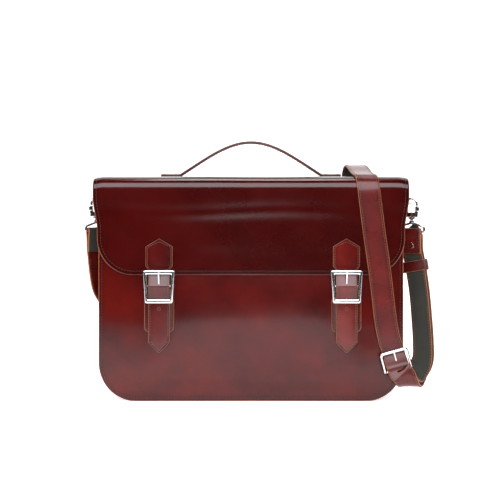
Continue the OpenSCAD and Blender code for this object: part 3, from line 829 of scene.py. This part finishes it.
def closure(tag, x0, tint):
    pts = [(-50.75, z) for z in np.linspace(202.7, 169.0, 22)] + list(cs)
    dense = smooth([(0.0, a, b) for a, b in pts], 4)
    dense = [v3((x0, p[1], p[2])) for p in dense]
    Wc = [(1.0, 0.0, 0.0)] * len(dense)

    def wf(s, c):
        z = c[2]
        if z > 193:
            q = (202.8 - z) / 9.8
            return max(1.2, 16.8 * min(1.0, q) ** 0.92)
        if z > 172:
            return 16.8
        if z > 73:
            return 13.5 + 3.3 * ss(z, 164.4, 169.2)
        q = (z - 61.8) / 11.2
        return max(1.2, 13.5 * min(1.0, max(0.0, q)) ** 0.92)

    ob = ribbon("closure_strap_skin_" + tag, dense, Wc, 27, 2.3, [tint, edge_mid, flesh_m], nx=14, wfun=wf, flip=False, groove=2.4)
    # rivetless punched holes: a raised lip, and a dark disc sunk in the tail that is painted shade in place of the
    # open hole
    bend(ob)
    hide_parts("upper_tab_" + tag, "closure_strap_" + tag)
    lines = []
    for s in (-1, 1):
        P = [c + v3((s * (wf(0, c) - 2.4), 0, 0)) + face_n(dense, [v3(w) for w in Wc], i) * 1.15 for i, c in enumerate(dense) if 76 < c[2] < 192]
        Nn = [face_n(dense, [v3(w) for w in Wc], i) for i, c in enumerate(dense) if 76 < c[2] < 192]
        lines.append((P, Nn))
    # the seam follows the point at the top and at the tail
    yb_, yt_ = -51.95, -53.85
    up = [(x0 - 14.4, yb_, 192), (x0 - 9, yb_, 194.9), (x0, yb_, 199.3), (x0 + 9, yb_, 194.9), (x0 + 14.4, yb_, 192)]
    dn = [(x0 - 11.1, yt_, 76), (x0 - 6, yt_, 70.6), (x0, yt_, 65.4), (x0 + 6, yt_, 70.6), (x0 + 11.1, yt_, 76)]
    lines.append((up, [(0, -1, 0)] * 5))
    lines.append((dn, [(0, -1, 0)] * 5))
    if np.dot(lines[0][1][0], v3((0, -1, 0))) < 0:
        lines = [([p + v3(n) * -2.3 for p, n in zip(P, Nn)], [-v3(n) for n in Nn]) for P, Nn in lines[:2]] + lines[2:]
    stc = stitches("closure_seam_" + tag, lines, thread_m, pitch=3.2, length=2.3, r=0.3)
    bend(stc)
    # punched adjustment holes, each with a pressed lip and a dark well; the well is a near-black disc, painted shade
    # in place of the open hole
    verts, faces, fm = [], [], []
    for hz_ in (116,):
        b = len(verts)
        for r, dy in ((2.35, 0.02), (1.95, -0.16), (1.6, -0.05), (1.45, 0.5)):
            for a in range(20):
                an = a * math.pi / 10
                verts.append((x0 + r * math.cos(an), -53.72 + dy, hz_ + r * math.sin(an)))
        for q in range(3):
            for a in range(20):
                faces.append((b + q * 20 + a, b + q * 20 + (a + 1) % 20, b + (q + 1) * 20 + (a + 1) % 20, b + (q + 1) * 20 + a))
                fm.append(0 if q < 2 else 1)
        faces.append(tuple(b + 60 + a for a in range(20)))
        fm.append(1)
    ho = new_mesh("closure_holes_" + tag, verts, faces, [edge_dark, hole_shade_m], fm)
    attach(ho, "closure_" + tag)

    # looped leather that holds the buckle: round the bar and down behind the tail
    P = []
    for a in np.linspace(-25, 205, 20):
        an = math.radians(a)
        P.append(v3((x0, -51.5 + 2.25 * math.cos(an + math.pi), 144 + 2.25 * math.sin(an))))
    P = [v3((x0, -52.4, 120)), v3((x0, -52.2, 133))]
    loop = [v3((x0, -49.55 + 0.0, z)) for z in (90, 100, 112, 124, 134, 139)]
    top = [v3((x0, -51.5 + 1.95 * math.cos(math.radians(a)), 144 + 1.95 * math.sin(math.radians(a)))) for a in np.linspace(0, 200, 14)]
    Cb = smooth(loop + top, 3)
    tabw = ribbon("buckle_loop_" + tag, Cb, [(1.0, 0, 0)] * len(Cb), 25.6, 1.7, [tint, edge_dark, flesh_m], nx=10, flip=True, groove=2.2, wfun=lambda s, c: 12.8 if abs(c[2] - 141) > 4.5 else 12.8)
    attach(tabw, "closure_" + tag)
    G = []
    for z in [87.2, 87.6, 88.4, 90, 92.6] + list(np.linspace(97, 127, 10)):
        h = half_w(z, 18.4, 6, 87)
        G.append([(x0 + t * h, -51.0 + 0.35 * (t * t) * 1.0 - 0.0, z) for t in np.linspace(-1, 1, 17)])
    tabp = sheet_solid("buckle_tab_skin_" + tag, G, 2.7, [body_m, edge_red, flesh_m], [[(p[0], p[2]) for p in r] for r in G], rim=0.35)
    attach(tabp, "closure_" + tag)
    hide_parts("buckle_tab_" + tag)
    s_ = [(x0 - 15.8, -50.8, 125)] + [(x0 - 15.8, -50.8, z) for z in range(122, 95, -4)] + [(x0 - 14.6, -50.85, 91.5), (x0 - 12, -50.9, 89.9)] + \
        [(x0 + x, -51.0, 89.7) for x in (-8, -4, 0, 4, 8)] + [(x0 + 12, -50.9, 89.9), (x0 + 14.6, -50.85, 91.5)] + [(x0 + 15.8, -50.8, z) for z in range(96, 126, 4)]
    stt = stitches("buckle_tab_seam_" + tag, [(s_, [(0, -1, 0)] * len(s_))], thread_d, pitch=3.2, length=2.3, r=0.3)
    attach(stt, "closure_" + tag)


# painted shade: near-black flesh for the disc that fills each punched hole
hole_shade_m = flesh("hole_painted_shade", (0.004, 0.002, 0.002), (0.010, 0.005, 0.004))
# painted light: the right closure strap takes a lighter copy of the closure leather, standing in for the brighter
# light on the lower right
clos_lit_r = leather("closure_leather_lit_r", (0.044, 0.0010, 0.0008), (0.150, 0.0070, 0.0032), (0.36, 0.105, 0.032), rough=(0.14, 0.22), coat=0.2, spec=0.40, coat_rough=0.09)
closure("l", -114.0, clos_m)
closure("r", 118.5, clos_lit_r)

# ------------------------------------------------------------ side ring tabs
wall = 182.0
ring_bar_x = wall + 4.5
cl_x, cl_z = (-198.3, 206.5), (246.0, 245.0)
for i, tag, sx in ((0, "l", -1), (1, "r", 1)):
    wire = (196.2, 204.4)[i]
    ra = math.asin((wire - ring_bar_x) / 24.0)
    rz = cl_z[i] - 0.75 + 24.0 * math.cos(ra)
    Cq = [(sx * (wall + 1.25), 0, z) for z in np.linspace(rz - 36, rz - 4, 9)]
    Cq += [(sx * (ring_bar_x + 2.95 * math.cos(a)), 0, rz + 2.95 * math.sin(a)) for a in np.linspace(math.pi * 0.93, -0.2, 16)]
    Cq += [(sx * (wall + 3.55), 0, z) for z in np.linspace(rz - 6, rz - 35.6, 8)]
    Cq = smooth(Cq, 2)
    tab = ribbon("ring_tab_skin_" + tag, Cq, [(0, 1.0, 0)] * len(Cq), 22, 2.0, [strap_m, edge_tan, flesh_m], nx=10, flip=(sx < 0), groove=2.2)
    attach(tab, "body")
    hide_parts("dring_tab")
    lines = [([(sx * (wall + 4.6), y, z) for z in np.linspace(rz - 34, rz - 8, 12)], [(sx, 0, 0)] * 12) for y in (-8.6, 8.6)]
    st = stitches("ring_tab_seam_" + tag, lines, thread_m, pitch=3.2, length=2.3, r=0.3)
    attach(st, "body")

# ----------------------------------------------------------- shoulder strap
eye_t = (math.radians(42), math.radians(-22))
eye_z = (cl_z[0] - 35.5, cl_z[1] - 35.5)
er = v3((math.cos(eye_t[1]), math.sin(eye_t[1]), 0))
fr = v3((-math.sin(eye_t[1]), math.cos(eye_t[1]), 0))
el = v3((math.cos(eye_t[0]), math.sin(eye_t[0]), 0))
fl = v3((-math.sin(eye_t[0]), math.cos(eye_t[0]), 0))


def at_r(s, z):
    return v3((cl_x[1], 0, 0)) + fr * s + v3((0, 0, z))


def at_l(s, z):
    return v3((cl_x[0], 0, 0)) + fl * s + v3((0, 0, z))


turn_r, turn_c = 6.5, v3((187.6, -53.2, 36.4))
deg = math.radians
M = [v3((182.8, -58.1, 39.6)), v3((184.8, -59.4, 37.6))] + \
    [turn_c + v3((turn_r * deg(a), -turn_r * math.cos(deg(a)), -turn_r * math.sin(deg(a)))) for a in range(0, 181, 30)] + \
    [v3(p) for p in [(211.6, -43.4, 43.5), (214.8, -38, 55), (216.2, -28, 75), (216, -16.5, 101), (214.4, -7.2, 133), (210.6, -1.2, 165)]] + \
    [at_r(1.5, 186), at_r(1.9, 200), at_r(2.8, eye_z[1] - 3)]
MW = [v3((0.966, 0, 0.259)), v3((0.8, 0, 0.6))] + \
    [v3((0.707, -0.707 * math.sin(deg(a)), 0.707 * math.cos(deg(a)))) for a in range(0, 181, 30)] + \
    [v3(p) for p in [(0.8, -0.2, -0.57), (0.88, -0.4, -0.2), (0.88, -0.45, 0), (0.88, -0.45, 0), (0.89, -0.44, 0)]] + [er] * 4
MC, MWC = smooth(M, 4), smooth(MW, 4)
heel = v3((182.35, -54.6, 41.57))
upd = v3((-0.259, 0, 0.966))
heel_wrap = [heel + 3.15 * (math.sin(deg(a)) * upd + math.cos(deg(a)) * v3((0, -1, 0))) for a in range(0, 211, 15)]
u_w = v3((0.966, 0, 0.259))
eye_wrap = [at_r(3.15 * math.cos(deg(a)), eye_z[1] + 3.15 * math.sin(deg(a))) for a in range(0, 181, 15)]
front_end = [at_r(-2.4, eye_z[1] - 5), at_r(-1.9, 200), at_r(-1.55, 191), at_r(-1.5, 181)]
SC = heel_wrap[::-1] + MC + eye_wrap + smooth(front_end, 3)
SW = [u_w] * len(heel_wrap) + MWC + [er] * len(eye_wrap) + [er] * (len(front_end) * 3 - 2)
short = ribbon("short_strap_skin", SC, SW, 24.3, 2.3, [strap_m, edge_tan, flesh_olive], nx=12, groove=2.4, flip=False)
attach(short, "body")
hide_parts("short_strap")

LL1 = [at_l(-1.5, 184), at_l(-1.55, 193), at_l(-1.9, 201), at_l(-2.4, eye_z[0] - 5)] + \
    [at_l(3.15 * math.cos(deg(a)), eye_z[0] + 3.15 * math.sin(deg(a))) for a in range(180, -1, -15)] + \
    [at_l(2.4, eye_z[0] - 5), at_l(1.9, 201), at_l(1.6, 190)]
LL2 = [(-198.0, 4.0, 168), (-197.0, 13, 142), (-194.6, 30, 120), (-193.2, 47, 104),
       (-192.4, 60.5, 86), (-186, 63, 58), (-168, 63, 27), (-135, 63, 9.5), (-90, 63, 4.4),
       (-40, 63, 7.5), (10, 63, 22), (50, 63, 50), (80, 63, 92), (100, 63, 140),
       (114, 62, 188), (124, 59, 226), (130.5, 56.5, 256), (133.6, 53.2, 275),
       (135, 45, 288), (136.4, 32, 293.6), (138, 14, 292), (140, -8, 286.4), (142, -27, 282.6),
       (143.2, -39, 281.6), (144.6, -47.4, 276.4), (146, -51.5, 266), (148.4, -51.7, 246),
       (153.6, -51.7, 206), (159.6, -51.7, 163.5), (166.6, -51.7, 104.5), (171, -51.7, 80),
       (175.4, -51.7, 66.5), (176.7, -52, 61.8), (178.5, -56.2, 54.6), (180.6, -61.3, 47.4)]
LL2W = [(0.7, 0.71, 0), (0.5, 0.86, 0), (0, 1, 0), (0, 1, 0)] + [(0, 1, 0)] * 9 + \
    [(0.05, 1, 0), (0.5, 0.87, 0), (0.85, 0.5, 0), (0.97, 0.2, 0.05),
     (1, 0.04, 0.05), (1, 0.02, 0), (1, 0.03, 0), (1, 0.05, 0), (1, 0.06, 0), (1, 0.06, 0), (1, 0.06, 0),
     (1, 0.05, 0.06), (0.995, 0, 0.1), (0.995, 0, 0.12), (0.99, 0, 0.13), (0.99, 0, 0.13),
     (0.99, 0, 0.13), (0.985, 0, 0.18), (0.97, 0, 0.23), (0.966, 0, 0.259), (0.966, 0, 0.259), (0.966, 0, 0.259)]


def lift(i):
    return 3.3 + 5.4 * max(0.0, math.sin(math.pi * min(1.0, max(0.0, (i + 3) / 46.0)))) ** 0.6


tail = [MC[i] + lift(i) * face_n(MC, MWC, i) for i in range(1, 65)] + \
    [at_r(6.2, 207) + 1.2 * er, at_r(6.6, 213) + 2 * er, at_r(6.8, 220) + 2.6 * er]
tail_w = MWC[1:65] + [er] * 3
S2, S2W = smooth(LL2, 4), smooth(LL2W, 4)
LC = LL1 + S2
LW = [el] * len(LL1) + S2W
# the strap's main length and its end, past the buckle, are built as separate pieces; the end stays with the body
over = 5
Cm, Wm = LC + tail[:1], LW + tail_w[:1]
main = ribbon("long_strap_skin", Cm, Wm, 28, 2.4, [strap_m, edge_tan, flesh_olive], nx=12, groove=2.6, flip=False)
A = np.array(LL1[10])
bend(main)
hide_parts("long_strap")
Ct, Wt = [LC[-2], LC[-1]] + tail, [LW[-2], LW[-1]] + tail_w
Ct = [c + face_n(Ct, Wt, i) * 0.0 for i, c in enumerate(Ct)]
end = ribbon("long_strap_end", Ct[1:], Wt[1:], 27.8, 2.3, [strap_m, edge_tan, flesh_olive], tip=18, nx=12, groove=2.6, flip=False, u0=1400)


def buckle_pt(p):
    c, s = math.cos(deg(-15)), math.sin(deg(-15))
    return (179.5 + c * p[0] + s * p[2], p[1], 52.2 - s * p[0] + c * p[2])


# the slot the prong works in
cv = [buckle_pt((x, y, z)) for x in (-2.3, 2.3) for y in (-66.0, -52.4) for z in (-14.6, 5.6)]
cf = [(0, 1, 3, 2), (4, 6, 7, 5), (0, 4, 5, 1), (2, 3, 7, 6), (0, 2, 6, 4), (1, 5, 7, 3)]
cut = new_mesh("slot_cut", cv, cf, [edge_tan])
bmc = bmesh.new()
bmc.from_mesh(cut.data)
bmesh.ops.recalc_face_normals(bmc, faces=bmc.faces)
bmc.to_mesh(cut.data)
bmc.free()
bo = end.modifiers.new("slot", "BOOLEAN")
bo.operation = "DIFFERENCE"
bo.solver = "EXACT"
bo.object = cut
dg = bpy.context.evaluated_depsgraph_get()
slotted = bpy.data.meshes.new_from_object(end.evaluated_get(dg), preserve_all_data_layers=True, depsgraph=dg)
end.modifiers.clear()
end.data = slotted
cut_mesh = cut.data
bpy.data.objects.remove(cut)
bpy.data.meshes.remove(cut_mesh)
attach(end, "body")
sl = []
for off in (-11.3, 11.3):
    for side in (1, -1):
        P = [Cm[i] + across(Cm, Wm, i) * off + face_n(Cm, Wm, i) * side * 1.2 for i in range(8, len(Cm) - 2)]
        Nn = [face_n(Cm, Wm, i) * side for i in range(8, len(Cm) - 2)]
        sl.append((P, Nn))
st = stitches("long_strap_seam", sl, thread_m, pitch=3.5, length=2.5, r=0.32, lift=0.05)
bend(st)
sl = []
for C_, W_, off, a, b in ((Ct, Wt, 11.3, 3, len(Ct) - 8), (SC, SW, 9.8, 18, len(SC) - 2)):
    for s in (-1, 1):
        for side in (1, -1):
            P = [C_[i] + across(C_, W_, i) * s * off + face_n(C_, W_, i) * side * 1.2 for i in range(a, b)]
            sl.append((P, [face_n(C_, W_, i) * side for i in range(a, b)]))
st = stitches("low_strap_seam", sl, thread_m, pitch=3.5, length=2.5, r=0.32, lift=0.05)
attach(st, "body")

# keeper loop
ki = 56
kp, kw, kn, kt = MC[ki], across(MC, MWC, ki), face_n(MC, MWC, ki), tang(MC, ki)
cx, cy, hx_, hy_, rr = 0.0, 1.5, 15.9, 4.25, 2.4
loop = []
for qx, qy, a0 in ((1, 1, 0), (-1, 1, 90), (-1, -1, 180), (1, -1, 270)):
    for a in np.linspace(a0, a0 + 90, 7):
        loop.append((cx + qx * (hx_ - rr) + rr * math.cos(deg(a)), cy + qy * (hy_ - rr) + rr * math.sin(deg(a))))
flat = []
n_ = len(loop)
for i in range(n_):
    a, b = np.array(loop[i]), np.array(loop[(i + 1) % n_])
    m_ = max(1, int(np.linalg.norm(b - a) / 2.5))
    for j in range(m_):
        flat.append(a + (b - a) * j / m_)
s0 = 3 + n_ // 2
flat = flat[s0:] + flat[:s0 + 1]
Ck = [kp + kw * p[0] + kn * p[1] for p in flat]
keep = ribbon("keeper_skin", Ck, [kt] * len(Ck), 13.8, 1.7, [strap_m, edge_tan, flesh_m], nx=8, groove=2.0, flip=False)
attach(keep, "body")
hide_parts("keeper")

# ------------------------------------------------------------------ hardware
BRIGHT = ["buckle_l", "buckle_r", "strap_buckle"]
CARRIED = ["clasp_eye_l", "clasp_eye_r", "strap_rivet", "strap_prong", "prong_l", "prong_r", "dring_l", "dring_r",
           "clasp_hook_l", "clasp_hook_r", "clasp_gate_l", "clasp_gate_r", "tab_rivet"]
SNAPS = ["snap_plate", "snap_washer", "magnet_l", "magnet_r"]
for names, mat in ((CARRIED + BRIGHT, chrome), (SNAPS, snap_metal)):
    for nm in names:
        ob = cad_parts.get(nm)
        if ob is None:
            continue
        if len(ob.material_slots) == 0:
            continue
        for sl_ in ob.material_slots:
            sl_.material = mat


def round_rect_frame(name, outer, inner, y0, y1, mat, M=None, ease=1.05):
    """Cast frame with rounded section. outer and inner are corner lists of equal length in (x, z)."""
    no = len(outer)

    def dens(poly, r=1.6):
        out = []
        n = len(poly)
        for i in range(n):
            p, a, b = np.array(poly[i], float), np.array(poly[i - 1], float), np.array(poly[(i + 1) % n], float)
            da, db = unit(a - p), unit(b - p)
            for t in np.linspace(0, 1, 6):
                q0, q2 = p + da * r, p + db * r
                out.append((1 - t) ** 2 * q0 + 2 * t * (1 - t) * p + t ** 2 * q2)
            nxt = b + unit(p - b) * r
            last = out[-1]
            for t in (0.25, 0.5, 0.75):
                out.append(last + (nxt - last) * t)
        return out

    O, I = dens(outer, 2.4), dens(inner, 1.2)
    n = len(O)
    verts, faces = [], []
    ym, hy = (y0 + y1) / 2, (y1 - y0) / 2
    K = 16
    for i in range(n):
        mid, half = (O[i] + I[i]) / 2, (O[i] - I[i]) / 2
        for k in range(K):
            a = 2 * math.pi * (k + 0.5) / K
            ca, sa = math.cos(a), math.sin(a)
            e = 0.62
            cx_ = math.copysign(abs(ca) ** e, ca)
            sy_ = math.copysign(abs(sa) ** e, sa)
            p = mid + half * cx_
            verts.append((p[0], ym + hy * sy_, p[1]))
    for i in range(n):
        j = (i + 1) % n
        for k in range(K):
            k2 = (k + 1) % K
            faces.append((i * K + k, i * K + k2, j * K + k2, j * K + k))
    if M is not None:
        verts = [M(v) for v in verts]
    return verts, faces


def bar(verts, faces, a, b, r, k=16):
    a, b = v3(a), v3(b)
    t = unit(b - a)
    u = unit(np.cross(t, v3((0, 0.3, 1))))
    w = np.cross(t, u)
    base = len(verts)
    rings = [(0.0, 0.55), (0.06, 0.9), (0.12, 1.0), (0.88, 1.0), (0.94, 0.9), (1.0, 0.55)]
    for q, f in rings:
        for i in range(k):
            an = 2 * math.pi * i / k
            verts.append(a + (b - a) * q + (u * math.cos(an) + w * math.sin(an)) * r * f)
    for q in range(len(rings) - 1):
        for i in range(k):
            faces.append((base + q * k + i, base + q * k + (i + 1) % k, base + (q + 1) * k + (i + 1) % k, base + (q + 1) * k + i))
    faces.append(tuple(base + i for i in range(k))[::-1])
    faces.append(tuple(base + (len(rings) - 1) * k + i for i in range(k)))


def fix_normals(ob):
    bm = bmesh.new()
    bm.from_mesh(ob.data)
    bmesh.ops.recalc_face_normals(bm, faces=bm.faces)
    bm.to_mesh(ob.data)
    bm.free()


for tag, x0 in (("l", -114.0), ("r", 118.5)):
    outer = [(x0 - 19.6, 164.2), (x0 + 19.6, 164.2), (x0 + 17.2, 123.0), (x0 - 17.2, 123.0)]
    inner_ = [(x0 - 15.2, 158.8), (x0 + 15.2, 158.8), (x0 + 14.0, 128.4), (x0 - 14.0, 128.4)]
    V, F = round_rect_frame("b", outer, inner_, -57.7, -53.9, chrome)
    bar(V, F, (x0 - 17.0, -51.5, 144), (x0 + 17.0, -51.5, 144), 1.3)
    for s in (-1, 1):
        bar(V, F, (x0 + s * 16.2, -55.2, 144), (x0 + s * 16.2, -50.4, 144), 1.9)
    ob = new_mesh("buckle_frame_" + tag, V, F, [chrome])
    fix_normals(ob)
    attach(ob, "closure_" + tag)
    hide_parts("buckle_" + tag)


def in_buckle(p):
    c, s = math.cos(deg(-15)), math.sin(deg(-15))
    x, y, z = p
    return (179.5 + c * x + s * z, y, 52.2 - s * x + c * z)


outer = [(-18, 13.5), (18, 13.5), (18, -12.6), (-18, -12.6)]
inner_ = [(-14.8, 9.8), (14.8, 9.8), (14.8, -9.4), (-14.8, -9.4)]
# three-sided cast frame closed by the round heel bar
V, F = [], []
pathf = [(-16.4, -11.6), (-16.4, -9), (-16.4, 0), (-16.4, 8.6), (-15.9, 10.6), (-14.4, 11.5), (-10, 11.65), (0, 11.65), (10, 11.65), (14.4, 11.5), (15.9, 10.6), (16.4, 8.6), (16.4, 0), (16.4, -9), (16.4, -11.6)]
pf = smooth([(p[0], 0, p[1]) for p in pathf], 4)
K = 16
for i, c in enumerate(pf):
    t = tang(pf, i)
    w = unit(np.cross(t, v3((0, 1, 0))))
    hw = 1.6 + 0.25 * (1 if abs(c[2]) > 9 and c[2] > 0 else 0)
    for k in range(K):
        a = 2 * math.pi * (k + 0.5) / K
        ca, sa = math.cos(a), math.sin(a)
        V.append(in_buckle(tuple(c + w * hw * math.copysign(abs(ca) ** 0.62, ca) + v3((0, -55.4 + 1.85 * math.copysign(abs(sa) ** 0.62, sa), 0)))))
for i in range(len(pf) - 1):
    for k in range(K):
        F.append((i * K + k, i * K + (k + 1) % K, (i + 1) * K + (k + 1) % K, (i + 1) * K + k))
F.append(tuple(range(K))[::-1])
F.append(tuple((len(pf) - 1) * K + k for k in range(K)))
bar(V, F, in_buckle((-17.6, -54.6, -11)), in_buckle((17.6, -54.6, -11)), 1.5)
ob = new_mesh("strap_buckle_frame", V, F, [chrome])
fix_normals(ob)
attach(ob, "body")
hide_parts("strap_buckle")

# ----------------------------------------------------------- stage and light
def stage_mat(name, col, glow):
    m = bpy.data.materials.new(name)
    nt, N, Lk = nodes_of(m)
    b = N["Principled BSDF"]
    co = N.new("ShaderNodeTexCoord")
    f = noise(nt, co.outputs["Object"], 3.0, 4)
    Lk.new(ramp(nt, [(0.3, tuple(c * 0.985 for c in col)), (0.7, col)], f).outputs[0], b.inputs["Base Color"])
    b.inputs["Roughness"].default_value = 0.9
    b.inputs["Specular IOR Level"].default_value = 0.1
    b.inputs["Emission Color"].default_value = (1, 1, 1, 1)
    b.inputs["Emission Strength"].default_value = glow
    return m


floor_m = stage_mat("floor_paper", (0.97, 0.97, 0.975), 0.62)
bm = bmesh.new()
rows = []
prof_f = [(-0.62, 0.0), (0.0, 0.0), (0.6, 0.0), (1.5, 0.0)] + [(1.5 + 1.0 * math.sin(a), 1.0 - 1.0 * math.cos(a)) for a in np.linspace(0.1, math.pi / 2, 14)] + [(2.5, 4.2)]
for y, z in prof_f:
    rows.append([bm.verts.new((x, y, z - 0.0001)) for x in (-4.5, -1.5, 0, 1.5, 4.5)])
for a, b in zip(rows[:-1], rows[1:]):
    for j in range(4):
        bm.faces.new((a[j], a[j + 1], b[j + 1], b[j]))
me = bpy.data.meshes.new("floor")
bm.to_mesh(me)
bm.free()
me.polygons.foreach_set("use_smooth", [True] * len(me.polygons))
floor = bpy.data.objects.new("floor", me)
me.materials.append(floor_m)
bpy.context.scene.collection.objects.link(floor)

# pale card on the table in front, as a product photographer lays one
bm = bmesh.new()
g = [[bm.verts.new((x, y, -0.001)) for x in np.linspace(-0.15, 0.19, 5)] for y in np.linspace(-1.30, -0.56, 8)]
for a, b in zip(g[:-1], g[1:]):
    for j in range(4):
        bm.faces.new((a[j], a[j + 1], b[j + 1], b[j]))
me = bpy.data.meshes.new("card")
bm.to_mesh(me)
bm.free()
me.materials.append(floor_m)
card = bpy.data.objects.new("card", me)
bpy.context.scene.collection.objects.link(card)


def area(name, loc, target, size, power, col=(1, 1, 1), sy=None):
    li = bpy.data.lights.new(name, "AREA")
    li.energy = power
    li.color = col
    li.shape = "RECTANGLE"
    li.size = size
    li.size_y = sy or size
    ob = bpy.data.objects.new(name, li)
    ob.location = loc
    d = Vector(target) - Vector(loc)
    ob.rotation_euler = d.to_track_quat("-Z", "Y").to_euler()
    bpy.context.scene.collection.objects.link(ob)
    return ob


area("front_high", (-0.15, -1.62, 1.22), (0, 0, 0.22), 1.9, 56, (0.97, 0.96, 1.0), 1.55)
area("top_box", (0.0, 0.10, 1.60), (0, 0.05, 0.1), 0.5, 7, (1.0, 0.96, 0.92), 0.3)
area("left_strip", (-1.7, -0.4, 0.8), (0, 0, 0.15), 0.35, 7, (0.98, 0.98, 1.0), 1.0)
area("right_strip", (1.7, -0.4, 0.8), (0, 0, 0.15), 0.35, 9, (1.0, 0.98, 0.97), 1.0)
area("back_wash", (0, 1.0, 2.4), (0, 2.4, 0.6), 2.6, 26, (1, 1, 1), 1.0)

world = bpy.data.worlds.new("studio")
bpy.context.scene.world = world
world.use_nodes = True
world.node_tree.nodes["Background"].inputs[0].default_value = (0.93, 0.94, 1.0, 1)
world.node_tree.nodes["Background"].inputs[1].default_value = 0.035

cam = bpy.data.cameras.new("camera")
cam.sensor_width = 36.0
cam.lens = 85.0
cam.clip_start = 0.01
co = bpy.data.objects.new("camera", cam)
CAM_Z = 0.285
co.location = (-0.0012, -1.516 + YO * MM, CAM_Z)
co.rotation_euler = (math.radians(90), 0, 0)
cam.shift_y = (0.1888 - CAM_Z) / 0.621
bpy.context.scene.collection.objects.link(co)
bpy.context.scene.camera = co
bpy.context.scene.view_settings.view_transform = "Standard"
